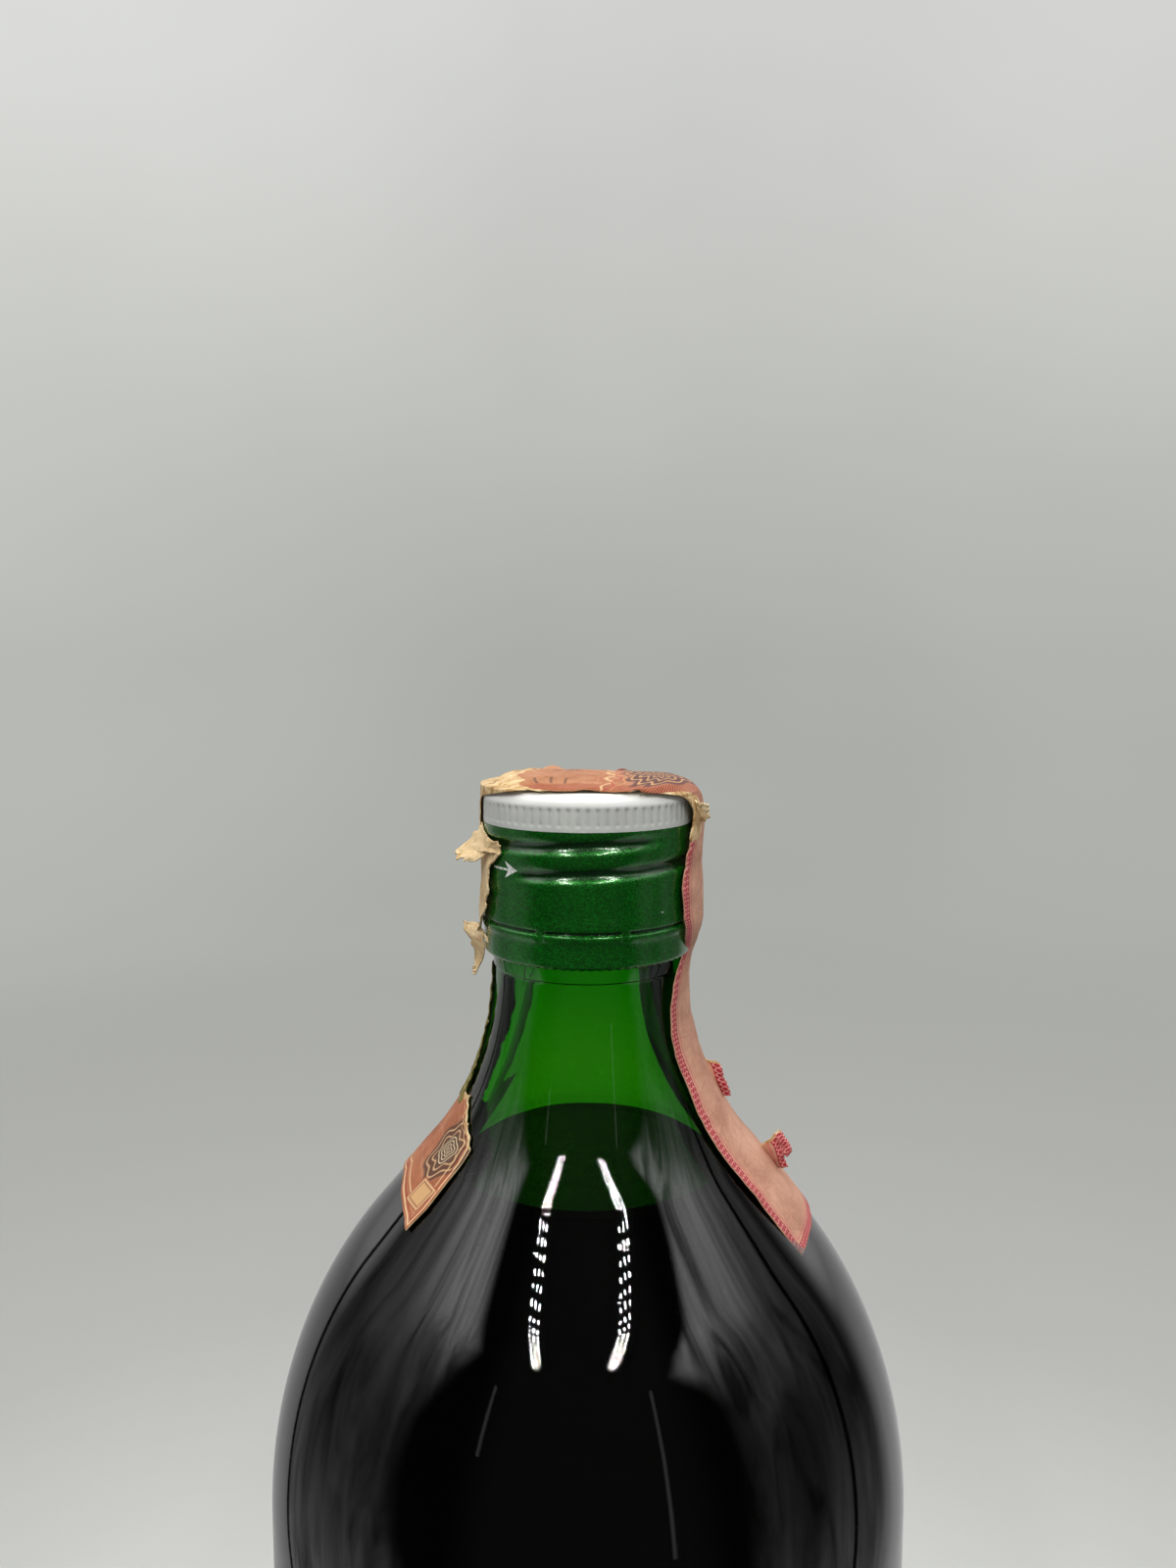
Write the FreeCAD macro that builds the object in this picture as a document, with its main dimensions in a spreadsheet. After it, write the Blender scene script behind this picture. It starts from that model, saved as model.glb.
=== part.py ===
import FreeCAD, Part
import math
import os

import Sketcher

# A one-litre bottle of herbal liqueur: green glass with a long rounded shoulder, filled with a
# near-black drink to just under the neck, closed by a roll-on aluminium screw cap. A paper tax
# strip runs over the cap from side to side. It is torn on the left, where its lower half is left
# on the shoulder as a piece of its own.
#
# The origin is the middle of the base, on the ground, with +Z up. The front faces -Y.
# Heights near the neck are drops, measured down from the flat top of the cap, because the glass
# maker and the cap maker work from the mouth of the bottle.

SIZES = [
    # the glass, outside
    ("overall_height", 239.0, "ground to the flat top of the cap"),
    ("body_radius", 48.7, "outside of the straight body"),
    ("heel_radius", 7.0, "round between the body and the base"),
    ("bearing_width", 2.4, "flat ring that the bottle stands on"),
    ("punt_depth", 6.5, "hollow under the base, at its middle"),
    ("shoulder_slope", 40.2, "degrees from upright of the straight stretch of the shoulder"),
    ("shoulder_run", 15.5, "length of that stretch"),
    ("neck_arc", 42.0, "radius of the bend into the neck"),
    ("neck_radius", 14.1, "neck at its waist"),
    ("waist_drop", 28.3, "where the neck is thinnest"),
    ("finish_step", 0.3, "how far the ring mould's collar stands out of the neck"),
    ("finish_drop", 26.9, "lower edge of that collar"),
    ("lip_round", 1.6, "outer edge of the mouth"),
    # the glass, inside
    ("bore_radius", 8.75, "straight bore at the mouth"),
    ("bore_drop", 19.3, "where the bore starts to widen"),
    ("bore_arc", 67.0, "radius of the bore's bend into the shoulder"),
    ("body_wall", 3.6, "wall of the straight body"),
    ("base_wall", 6.3, "glass over the bearing ring"),
    ("inner_heel", 8.0, "round at the foot of the cavity"),
    # the drink
    ("fill_drop", 58.2, "level of the drink"),
    ("drink_gap", 0.05, "between the drink and the glass"),
    # the cap
    ("cap_length", 24.9, "top to the foot of the tamper band"),
    ("cap_clearance", 0.3, "between the finish and the cap's bore"),
    ("cap_crown", 1.7, "top sheet with its sealing disc"),
    ("seal_gap", 0.05, "between the sealing disc and the mouth"),
    ("cap_sheet", 0.45, "wall behind the thread groove"),
    ("rim_round", 1.3, "edge round the top of the cap"),
    ("knurl_count", 72, "grip ribs round the band"),
    ("knurl_depth", 0.15, "how deep the grip is pressed"),
    ("knurl_cutter", 0.4, "radius of one pressed flute"),
    ("knurl_drop", 1.5, "upper end of the flutes"),
    ("knurl_length", 3.6, "length of the flutes"),
    ("thread_pitch", 4.0, "rise of the thread in one turn"),
    ("thread_turns", 1.29, "turns of the thread"),
    ("thread_drop", 11.86, "lower end of the thread"),
    ("thread_bearing", -140.0, "degrees from +X of the lower end"),
    ("thread_depth", 0.6, "how deep the thread is rolled"),
    ("thread_round", 1.1, "radius of the rolled groove"),
    ("flare_drop", 17.2, "where the skirt starts to flare"),
    ("flare", 0.15, "how far it flares"),
    ("slit_drop", 19.6, "middle of the line of slits"),
    ("slit_height", 0.4, "height of the slits"),
    ("bridge_count", 8, "bridges that hold the tamper band"),
    ("bridge_angle", 6.0, "degrees that one bridge takes"),
    ("bridge_bearing", -70.5, "degrees from +X of the first bridge"),
    ("bead_drop", 21.2, "lower edge of the bead under the slits"),
    ("foot_round", 0.7, "curled foot of the tamper band"),
    # the paper
    ("paper_gap", 0.1, "glue between the paper and what it lies on"),
    ("paper_thickness", 0.3, "paper, with its gum and curl"),
    ("strip_lift", 1.1, "how far the strip bridges clear of the cap on the right"),
    ("tail_lift", 0.1, "the same on the left"),
    ("flank_drop", 21.8, "where the strip turns in to the neck on the right"),
    ("strip_crown", 0.9, "how far the strip is domed over the cap"),
    ("strip_half", 14.4, "half the strip's width on top of the cap"),
    ("strip_near", 13.8, "front edge to the middle, at the right end"),
    ("strip_far", 11.6, "back edge to the middle, at the right end"),
    ("strip_drop", 66.2, "cut right end of the strip"),
    ("tail_drop", 25.6, "torn left end of the strip"),
    ("remnant_near", 16.0, "front edge of the left shoulder piece to the middle"),
    ("remnant_far", 11.4, "back edge of the left shoulder piece to the middle"),
    ("remnant_drop", 62.2, "lower end of the left shoulder piece"),
    ("remnant_top_drop", 27.2, "upper end of its torn sliver on the neck"),
    ("flap_reach", 4.4, "how far the folded flap stands out"),
    ("curl_reach", 2.6, "how far the two torn curls stand out"),
]

CUT_DEPTH = 200.0  # longer than the bottle is wide, for cuts that pass right through
CUT_MARGIN = 20.0  # how far a trimming sketch reaches past the paper

doc = FreeCAD.newDocument("herbal_liqueur_bottle")
sheet = doc.addObject("Spreadsheet::Sheet", "Sizes")
for row, (alias, value, note) in enumerate(SIZES, start=1):
    sheet.set(f"A{row}", alias)
    sheet.set(f"B{row}", str(value))
    sheet.set(f"C{row}", note)
    sheet.setAlias(f"B{row}", alias)
doc.recompute()


# ---- sizes as expressions ----------------------------------------------------------------

def size(name):
    return f"Sizes.{name}"


def value_of(expression):
    """The number that an expression gives with the sheet as it stands."""
    found = sheet.evalExpression(expression)
    return float(getattr(found, "Value", found))


def height(drop):
    """Height of a place that is given as a drop from the cap's top."""
    return f"({size('overall_height')} - ({drop}))"


def sagitta_radius(half_chord, rise):
    """Radius of the arc that rises by this much over this half chord."""
    return f"((({half_chord})^2 + ({rise})^2) / (2 * ({rise})))"


SLOPE = size("shoulder_slope")
WAIST = height(size("waist_drop"))
LIP = height(f"{size('cap_crown')} + {size('seal_gap')}")
FINISH_RADIUS = f"({size('neck_radius')} + {size('finish_step')})"
CAP_BORE = f"({FINISH_RADIUS} + {size('cap_clearance')})"
CAP_RADIUS = f"({CAP_BORE} + {size('cap_sheet')} + {size('thread_depth')})"
INNER_RADIUS = f"({size('body_radius')} - {size('body_wall')})"

# Outside, the shoulder's arc is tangent to the body and to the straight stretch, so its radius
# follows from what the neck's arc and that stretch leave of the width.
SHOULDER_ARC = (
    f"(({size('body_radius')} - {size('neck_radius')} - {size('shoulder_run')} * sin({SLOPE}))"
    f" / (1 - cos({SLOPE})) - {size('neck_arc')})"
)
SHOULDER = (
    f"({WAIST} - ({SHOULDER_ARC} + {size('neck_arc')}) * sin({SLOPE})"
    f" - {size('shoulder_run')} * cos({SLOPE}))"
)

# Inside, the two arcs are given, and the straight stretch is what they leave.
INNER_ARC = f"({SHOULDER_ARC} - {size('body_wall')})"
BORE_FOOT = height(size("bore_drop"))
INNER_RUN = (
    f"(({INNER_RADIUS} - {size('bore_radius')}"
    f" - ({INNER_ARC} + {size('bore_arc')}) * (1 - cos({SLOPE}))) / sin({SLOPE}))"
)
INNER_SHOULDER = (
    f"({BORE_FOOT} - ({INNER_ARC} + {size('bore_arc')}) * sin({SLOPE}) - {INNER_RUN} * cos({SLOPE}))"
)


def on_shoulder(offset, angle):
    """A place on the shoulder's arc, this far off the glass. The angle is the wall's lean."""
    reach = f"({SHOULDER_ARC} + {offset})"
    return (
        f"({size('body_radius')} - {SHOULDER_ARC} + {reach} * cos({angle}))",
        f"({SHOULDER} + {reach} * sin({angle}))",
    )


def on_neck(offset, angle):
    """A place on the neck's arc, this far off the glass. The angle is the wall's lean."""
    reach = f"({size('neck_arc')} - ({offset}))"
    return (
        f"({size('neck_radius')} + {size('neck_arc')} - {reach} * cos({angle}))",
        f"({WAIST} - {reach} * sin({angle}))",
    )


def on_slope(offset, run):
    """A place on the straight stretch, this far off the glass and this far down from the neck's arc."""
    across, up = on_neck(offset, SLOPE)
    return f"({across} + {run} * sin({SLOPE}))", f"({up} - {run} * cos({SLOPE}))"


# ---- sketches and features ---------------------------------------------------------------

def new_body(name):
    body = doc.addObject("PartDesign::Body", name)
    body.Label = name
    return body


def new_sketch(body, name, plane, turn=None, raised=None):
    """A sketch on one of the body's own planes, turned about the bottle's axis or raised along it."""
    sketch = body.newObject("Sketcher::SketchObject", name)
    support = next(f for f in body.Origin.OriginFeatures if f.Role == plane)
    sketch.AttachmentSupport = [(support, "")]
    sketch.MapMode = "FlatFace"
    if turn is not None:
        sketch.AttachmentOffset = FreeCAD.Placement(
            FreeCAD.Vector(0, 0, 0), FreeCAD.Rotation(FreeCAD.Vector(0, 1, 0), value_of(turn))
        )
        sketch.setExpression("AttachmentOffset.Rotation.Angle", turn)
    if raised is not None:
        sketch.setExpression("AttachmentOffset.Base.z", raised)
    return sketch


def pin(sketch, geometry, end, expression, along):
    """Holds one coordinate of a point to an expression."""
    if expression == "0":
        axis = -2 if along == "X" else -1
        sketch.addConstraint(Sketcher.Constraint("PointOnObject", geometry, end, axis))
        return
    index = sketch.addConstraint(
        Sketcher.Constraint(f"Distance{along}", geometry, end, value_of(expression))
    )
    sketch.setExpression(f"Constraints[{index}]", expression)


def arc_between(start, end, radius):
    """The short arc from start to end, with its centre on the left of the way if radius is positive."""
    chord = end - start
    left = FreeCAD.Vector(-chord.y, chord.x, 0).normalize()
    sagitta_leg = math.sqrt(max(radius**2 - (chord.Length / 2) ** 2, 0.0))
    centre = (start + end) / 2 + left * math.copysign(sagitta_leg, radius)
    first, last = (start, end) if radius > 0 else (end, start)
    angles = [math.atan2(p.y - centre.y, p.x - centre.x) for p in (first, last)]
    if angles[1] < angles[0]:
        angles[1] += 2 * math.pi
    circle = Part.Circle(centre, FreeCAD.Vector(0, 0, 1), abs(radius))
    return Part.ArcOfCircle(circle, *angles)


def draw_outline(sketch, corners):
    """A closed outline. A corner is (x, y), or (x, y, radius) where the side that leaves it is an arc.

    A radius is (sign, expression): 1 puts the centre on the left of the way, -1 on the right.
    """
    places = [FreeCAD.Vector(value_of(c[0]), value_of(c[1]), 0) for c in corners]
    ends = []
    for i, corner in enumerate(corners):
        start = places[i]
        end = places[(i + 1) % len(places)]
        if len(corner) == 2:
            side = sketch.addGeometry(Part.LineSegment(start, end))
            ends.append((side, 1, 2))
            continue
        sign, radius = corner[2]
        side = sketch.addGeometry(arc_between(start, end, sign * value_of(radius)))
        ends.append((side, 1, 2) if sign > 0 else (side, 2, 1))
    for i, (side, _, far) in enumerate(ends):
        following, near, _ = ends[(i + 1) % len(ends)]
        sketch.addConstraint(Sketcher.Constraint("Coincident", side, far, following, near))
    for corner, (side, near, _) in zip(corners, ends):
        pin(sketch, side, near, corner[0], "X")
        pin(sketch, side, near, corner[1], "Y")
        if len(corner) == 3:
            radius = corner[2][1]
            index = sketch.addConstraint(Sketcher.Constraint("Radius", side, value_of(radius)))
            sketch.setExpression(f"Constraints[{index}]", radius)


def draw_circle(sketch, across, radius):
    """A circle centred on the sketch's own X axis, or on the origin."""
    centre = FreeCAD.Vector(value_of(across), 0, 0)
    ring = sketch.addGeometry(Part.Circle(centre, FreeCAD.Vector(0, 0, 1), value_of(radius)))
    pin(sketch, ring, 3, across, "X")
    pin(sketch, ring, 3, "0", "Y")
    index = sketch.addConstraint(Sketcher.Constraint("Radius", ring, value_of(radius)))
    sketch.setExpression(f"Constraints[{index}]", radius)


def turned(body, name, corners, kind="Revolution", plane="XZ_Plane", bearing=None, sweep="360", back=False):
    """Spins an outline about the bottle's axis, to add or to cut."""
    sketch = new_sketch(body, f"{name}_outline", plane, turn=bearing)
    draw_outline(sketch, corners)
    feature = body.newObject(f"PartDesign::{kind}", name)
    feature.Profile = sketch
    feature.ReferenceAxis = (sketch, ["V_Axis"])
    feature.setExpression("Angle", sweep)
    feature.Reversed = back
    return feature


def repeated(body, name, feature, count):
    """Copies a feature evenly round the bottle's axis."""
    pattern = body.newObject("PartDesign::PolarPattern", name)
    pattern.Originals = [feature]
    axis = next(f for f in body.Origin.OriginFeatures if f.Role == "Z_Axis")
    pattern.Axis = (axis, [""])
    pattern.Angle = 360
    pattern.setExpression("Occurrences", count)
    body.Tip = pattern
    return pattern


# ---- the glass and the drink -------------------------------------------------------------

def cavity(top, gap="0"):
    """The inside of the bottle up to this height, this much smaller than the glass leaves it."""
    foot = f"({INNER_RADIUS} - {size('inner_heel')})"
    floor = f"({size('base_wall')} + {gap})"
    arc = f"({INNER_ARC} - {gap})"
    bore_arc = f"({size('bore_arc')} + {gap})"
    centre = f"({size('body_radius')} - {SHOULDER_ARC})"
    return [
        ("0", f"({floor} + {size('punt_depth')})", (-1, sagitta_radius(foot, size("punt_depth")))),
        (foot, floor, (1, f"({size('inner_heel')} - {gap})")),
        (f"({INNER_RADIUS} - {gap})", f"({size('base_wall')} + {size('inner_heel')})"),
        (f"({INNER_RADIUS} - {gap})", INNER_SHOULDER, (1, arc)),
        (f"({centre} + {arc} * cos({SLOPE}))", f"({INNER_SHOULDER} + {arc} * sin({SLOPE}))"),
        (
            f"({size('bore_radius')} + {size('bore_arc')} - {bore_arc} * cos({SLOPE}))",
            f"({BORE_FOOT} - {bore_arc} * sin({SLOPE}))",
            (-1, bore_arc),
        ),
        (f"({size('bore_radius')} - {gap})", BORE_FOOT),
        (f"({size('bore_radius')} - {gap})", top),
        ("0", top),
    ]


def make_glass():
    body = new_body("bottle_glass")
    ring_out = f"({size('body_radius')} - {size('heel_radius')})"
    ring_in = f"({ring_out} - {size('bearing_width')})"
    outside = [
        ("0", size("punt_depth"), (-1, sagitta_radius(ring_in, size("punt_depth")))),
        (ring_in, "0"),
        (ring_out, "0", (1, size("heel_radius"))),
        (size("body_radius"), size("heel_radius")),
        (size("body_radius"), SHOULDER, (1, SHOULDER_ARC)),
        on_shoulder("0", SLOPE),
        (*on_neck("0", SLOPE), (-1, size("neck_arc"))),
        (size("neck_radius"), WAIST),
        (size("neck_radius"), height(f"{size('finish_drop')} + {size('finish_step')}")),
        (FINISH_RADIUS, height(size("finish_drop"))),
        (FINISH_RADIUS, f"({LIP} - {size('lip_round')})", (1, size("lip_round"))),
        (f"({FINISH_RADIUS} - {size('lip_round')})", LIP),
        ("0", LIP),
    ]
    turned(body, "glass_outside", outside)
    turned(body, "glass_inside", cavity(size("overall_height")), kind="Groove")
    return body


def make_drink():
    """The drink fills the cavity up to its level, where it is cut flat."""
    body = new_body("herbal_liqueur")
    turned(body, "drink_shape", cavity(LIP, size("drink_gap")))
    level = new_sketch(body, "drink_level", "XY_Plane", raised=height(size("fill_drop")))
    draw_circle(level, "0", size("body_radius"))
    cut = body.newObject("PartDesign::Pocket", "headspace")
    cut.Profile = level
    cut.Length = CUT_DEPTH
    cut.Reversed = True
    return body


# ---- the cap -----------------------------------------------------------------------------

def make_cap():
    body = new_body("screw_cap")
    flared = f"({CAP_RADIUS} + {size('flare')})"
    foot = height(size("cap_length"))
    outside = [
        (CAP_BORE, foot),
        (f"({CAP_RADIUS} - {size('foot_round')})", foot, (1, size("foot_round"))),
        (CAP_RADIUS, f"({foot} + {size('foot_round')})"),
        (CAP_RADIUS, height(size("bead_drop"))),
        (flared, height(f"{size('slit_drop')} + ({size('bead_drop')} - {size('slit_drop')}) / 2")),
        (flared, height(size("slit_drop"))),
        (CAP_RADIUS, height(size("flare_drop"))),
        (CAP_RADIUS, height(size("rim_round")), (1, size("rim_round"))),
        (f"({CAP_RADIUS} - {size('rim_round')})", size("overall_height")),
        ("0", size("overall_height")),
        ("0", height(size("cap_crown"))),
        (CAP_BORE, height(size("cap_crown"))),
    ]
    turned(body, "cap_shell", outside)

    # the thread is rolled into the skirt, so it shows as a round groove
    groove = new_sketch(body, "thread_section", "XZ_Plane", turn=size("thread_bearing"))
    middle = f"({CAP_RADIUS} - {size('thread_depth')} + {size('thread_round')})"
    level = height(size("thread_drop"))
    centre = FreeCAD.Vector(value_of(middle), value_of(level), 0)
    ring = groove.addGeometry(
        Part.Circle(centre, FreeCAD.Vector(0, 0, 1), value_of(size("thread_round")))
    )
    pin(groove, ring, 3, middle, "X")
    pin(groove, ring, 3, level, "Y")
    index = groove.addConstraint(
        Sketcher.Constraint("Radius", ring, value_of(size("thread_round")))
    )
    groove.setExpression(f"Constraints[{index}]", size("thread_round"))
    thread = body.newObject("PartDesign::SubtractiveHelix", "thread")
    thread.Profile = groove
    thread.ReferenceAxis = (groove, ["V_Axis"])
    thread.Mode = "pitch-turns-angle"
    thread.setExpression("Pitch", size("thread_pitch"))
    thread.setExpression("Turns", size("thread_turns"))

    # one flute of the grip, pressed in from outside, then all of them
    flute_foot = height(f"{size('knurl_drop')} + {size('knurl_length')}")
    flute = new_sketch(body, "flute_section", "XY_Plane", raised=flute_foot)
    draw_circle(
        flute,
        f"({CAP_RADIUS} - {size('knurl_depth')} + {size('knurl_cutter')})",
        size("knurl_cutter"),
    )
    cut = body.newObject("PartDesign::Pocket", "flute")
    cut.Profile = flute
    cut.setExpression("Length", size("knurl_length"))
    cut.Reversed = True
    repeated(body, "grip", cut, size("knurl_count"))

    # the slits between the bridges of the tamper band
    low = height(f"{size('slit_drop')} + {size('slit_height')} / 2")
    high = height(f"{size('slit_drop')} - {size('slit_height')} / 2")
    past = f"({flared} + 1)"
    within = f"({CAP_BORE} - 1)"
    slit = turned(
        body,
        "slit",
        [(within, low), (past, low), (past, high), (within, high)],
        kind="Groove",
        bearing=f"({size('bridge_bearing')} + {size('bridge_angle')} / 2)",
        sweep=f"(360 / {size('bridge_count')} - {size('bridge_angle')})",
    )
    repeated(body, "slits", slit, size("bridge_count"))
    return body


# ---- the paper ---------------------------------------------------------------------------

UNDER = size("paper_gap")
OVER = f"({size('paper_gap')} + {size('paper_thickness')})"
MID = f"({size('paper_gap')} + {size('paper_thickness')} / 2)"


def there_and_back(outer, inner):
    """A thin closed band between two open lines that run the same way."""
    back = []
    for i in range(len(inner) - 1, -1, -1):
        corner = inner[i][:2]
        before = inner[i - 1] if i else ()
        if len(before) == 3:
            sign, radius = before[2]
            corner = (*corner, (-sign, radius))
        back.append(corner)
    return outer + back


def shoulder_line(offset):
    """From the shoulder's foot up to the waist of the neck, this far off the glass."""
    return [
        (*on_shoulder(offset, "0"), (1, f"({SHOULDER_ARC} + {offset})")),
        on_shoulder(offset, SLOPE),
        (*on_neck(offset, SLOPE), (-1, f"({size('neck_arc')} - {offset})")),
        (f"({size('neck_radius')} + {offset})", WAIST),
    ]


def strip_line(offset, lift, turn_in):
    """From the shoulder's foot over the cap to the bottle's axis, leaving the cap's side at this drop."""
    flank = f"({CAP_RADIUS} + {lift} + {offset})"
    bend = f"({size('rim_round')} + {lift} + {offset})"
    edge = f"({flank} - {bend})"
    top = f"({size('overall_height')} + {offset})"
    dome = sagitta_radius(edge, size("strip_crown"))
    return shoulder_line(offset) + [
        (flank, height(turn_in)),
        (flank, f"({top} - {bend})", (1, bend)),
        (edge, top, (1, dome)),
        ("0", f"({top} + {size('strip_crown')})"),
    ]


def trim(body, name, outline, back):
    """Cuts away the paper of one side that lies outside this torn outline."""
    sketch = new_sketch(body, f"{name}_outline", "YZ_Plane")
    wide = f"({size('body_radius')} + {CUT_MARGIN})"
    high = f"({size('overall_height')} + {CUT_MARGIN})"
    draw_outline(sketch, [(f"(-{wide})", "0"), (wide, "0"), (wide, high), (f"(-{wide})", high)])
    draw_outline(sketch, outline)
    cut = body.newObject("PartDesign::Pocket", name)
    cut.Profile = sketch
    cut.Length = CUT_DEPTH
    cut.Reversed = back
    return cut


def tear(points):
    """Turns (across, drop) pairs of a torn outline into corners. A number is in millimetres."""
    return [(f"({across})", height(drop)) for across, drop in points]


def make_strip():
    """The long strip: over the cap, down the right side and along the shoulder, torn on the left."""
    body = new_body("tax_strip_over_cap")
    pinched = (size("strip_lift"), size("flank_drop"))
    hanging = (size("tail_lift"), size("tail_drop"))
    right = there_and_back(strip_line(OVER, *pinched), strip_line(UNDER, *pinched))
    left = there_and_back(strip_line(OVER, *hanging), strip_line(UNDER, *hanging))
    turned(body, "strip_right_skin", right, plane="YZ_Plane", sweep="180", back=True)
    turned(body, "strip_left_skin", left, plane="YZ_Plane", sweep="180")

    half = size("strip_half")
    near = size("strip_near")
    far = size("strip_far")
    foot = size("strip_drop")
    above = f"(-{CUT_MARGIN} / 2)"
    # front edge from the top of the cap down to the cut end, then the back edge up again
    right_edge = [
        (f"-{half}", above),
        (f"-{half}", size("rim_round")),
        (f"-{near} * 0.49", f"{size('rim_round')} + 0.9"),
        (f"-{near} * 0.54", f"{size('flank_drop')} * 0.32"),
        (f"-{near} * 0.64", f"{size('flank_drop')} * 0.56"),
        (f"-{near} * 0.59", size("flank_drop")),
        (f"-{near} * 0.40", f"{size('waist_drop')} - 1.0"),
        (f"-{near} * 0.63", f"{size('waist_drop')} + 3.6"),
        (f"-{near} * 0.70", f"{size('waist_drop')} + 14.0"),
        (f"-{near} * 0.86", f"{foot} - 14.0"),
        (f"-{near}", f"{foot} - 0.9"),
        (f"-{near} * 0.96", f"{foot} + 0.5"),
        (f"-{near} * 0.60", f"{foot} - 0.3"),
        (f"-{near} * 0.17", f"{foot} - 0.4"),
        (f"{far} * 0.55", f"{foot} + 1.4"),
        (far, f"{foot} + 1.2"),
        (f"{far} * 0.80", f"{size('waist_drop')} + 12.0"),
        (f"{far} * 0.70", size("waist_drop")),
        (f"{far} * 0.80", size("flank_drop")),
        (f"{far} * 0.86", f"{size('rim_round')} + 2.2"),
        (half, size("rim_round")),
        (half, above),
    ]
    end = size("tail_drop")
    # the same on the left, where the tail narrows to a torn scrap
    left_edge = [
        (f"-{half}", above),
        (f"-{half}", f"{size('rim_round')} - 0.4"),
        (f"-{half} * 0.60", size("rim_round")),
        (f"-{half} * 0.24", f"{end} * 0.08"),
        (f"-{half} * 0.18", f"{end} * 0.20"),
        (f"-{half} * 0.54", f"{end} * 0.29"),
        (f"-{half} * 0.52", f"{end} * 0.46"),
        (f"-{half} * 0.30", f"{end} * 0.60"),
        (f"-{half} * 0.13", f"{end} * 0.74"),
        (f"-{half} * 0.24", f"{end} * 0.82"),
        (f"-{half} * 0.05", end),
        (f"{half} * 0.14", f"{end} * 0.84"),
        (f"{half} * 0.42", f"{end} * 0.60"),
        (f"{half} * 0.60", f"{end} * 0.25"),
        (half, size("rim_round")),
        (half, above),
    ]
    trim(body, "right_edge", tear(right_edge), back=True)
    trim(body, "left_edge", tear(left_edge), back=False)

    # the folded flap on the left stands out of the tail, hinged at its upper edge
    flank = f"({CAP_RADIUS} + {size('tail_lift')} + {MID})"
    hinge = height(f"{end} * 0.30")
    fold = height(f"{end} * 0.30 + {size('paper_thickness')} * 2")
    reach = size("flap_reach")
    flap = [
        (flank, fold),
        (f"({flank} + {reach})", height(f"{end} * 0.30 + {size('paper_thickness')} + {reach}")),
        (f"({flank} + {reach})", height(f"{end} * 0.30 + {reach}")),
        (flank, hinge),
    ]
    turned(body, "flap", flap, bearing="-162", sweep="18")

    # two torn curls on the back edge of the right end
    lean = f"({SLOPE} * 0.6)"
    curl = size("curl_reach")
    root = on_neck(MID, lean)
    upper = on_neck(MID, f"({lean} - 1.2)")
    add_curl(body, "upper_curl", root, upper, curl)
    along = f"{size('shoulder_run')} * 0.4"
    root = on_slope(MID, f"({along})")
    upper = on_slope(MID, f"({along} - 0.8)")
    add_curl(body, "lower_curl", root, upper, curl)
    return body


def add_curl(body, name, root, upper, reach):
    """A small torn tab that stands out of the paper, with its root inside the paper's thickness."""
    tip = (f"({root[0]} + {reach})", f"({root[1]} - {reach} * 0.3)")
    tip_upper = (tip[0], f"({tip[1]} + {size('paper_thickness')})")
    turned(body, name, [root, tip, tip_upper, upper], bearing="20", sweep="7")


def make_remnant():
    """The lower half of the strip's torn left side, still glued to the shoulder."""
    body = new_body("tax_strip_left_shoulder")
    skin = there_and_back(shoulder_line(OVER), shoulder_line(UNDER))
    turned(body, "remnant_skin", skin, plane="YZ_Plane", sweep="180")
    near = size("remnant_near")
    far = size("remnant_far")
    foot = size("remnant_drop")
    top = size("remnant_top_drop")
    edge = [
        (f"-{near}", foot),
        (f"-{near} * 0.82", f"{foot} - 10.8"),
        (f"-{near} * 0.49", f"{foot} - 14.0"),
        (f"-{near} * 0.35", f"{foot} - 16.2"),
        (f"-{near} * 0.24", f"{foot} - 19.0"),
        (f"-{near} * 0.12", f"{top} + 6.0"),
        (f"-{near} * 0.05", top),
        (f"{far} * 0.20", top),
        (f"{far} * 0.50", f"{top} + 8.0"),
        (f"{far} * 0.85", f"{foot} - 14.0"),
        (far, f"{foot} - 0.4"),
        (f"-{near} * 0.10", f"{foot} - 2.1"),
        (f"-{near} * 0.60", f"{foot} - 1.4"),
    ]
    trim(body, "remnant_edge", tear(edge), back=False)
    return body


# ---- the whole bottle --------------------------------------------------------------------

pieces = [make_glass(), make_drink(), make_cap(), make_strip(), make_remnant()]
doc.recompute()

failed = [o.Label for o in doc.Objects if "Invalid" in o.State or "Error" in o.State]
if failed:
    raise SystemExit(f"these failed to build: {failed}")
for body in pieces:
    if body.Shape.isNull() or not body.Shape.isValid() or len(body.Shape.Solids) != 1:
        raise SystemExit(f"{body.Label} isn't one valid solid")

# A cut or a revolution that points the wrong way shows no error, so each step has to change the volume.
for body in pieces:
    steps = [f for f in body.Group if f.isDerivedFrom("PartDesign::Feature")]
    volumes = [f.Shape.Volume for f in steps]
    for step, before, after in zip(steps[1:], volumes, volumes[1:]):
        if abs(after - before) < 1e-3:
            raise SystemExit(f"{step.Label} changed nothing")
    box = body.Shape.optimalBoundingBox(False)
    print(
        f"{body.Label}: {body.Shape.Volume / 1000:.1f} ml,"
        f" X {box.XMin:.2f}..{box.XMax:.2f}, Y {box.YMin:.2f}..{box.YMax:.2f}, Z {box.ZMin:.2f}..{box.ZMax:.2f}"
    )

os.makedirs("parts", exist_ok=True)
for body in pieces:
    body.Shape.exportStep(os.path.join("parts", f"{body.Label}.step"))
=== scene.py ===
# %% [markdown]
# # A bottle of herbal liqueur
#
# The object is a one-litre bottle of dark green glass. It holds a drink that is almost black, it has a
# roll-on aluminium screw cap, and a paper tax strip was glued over the cap from one shoulder to the
# other. The strip is torn on the left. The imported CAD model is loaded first. It is the frame that every
# piece here is fitted to, so nothing in it is moved.

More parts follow.
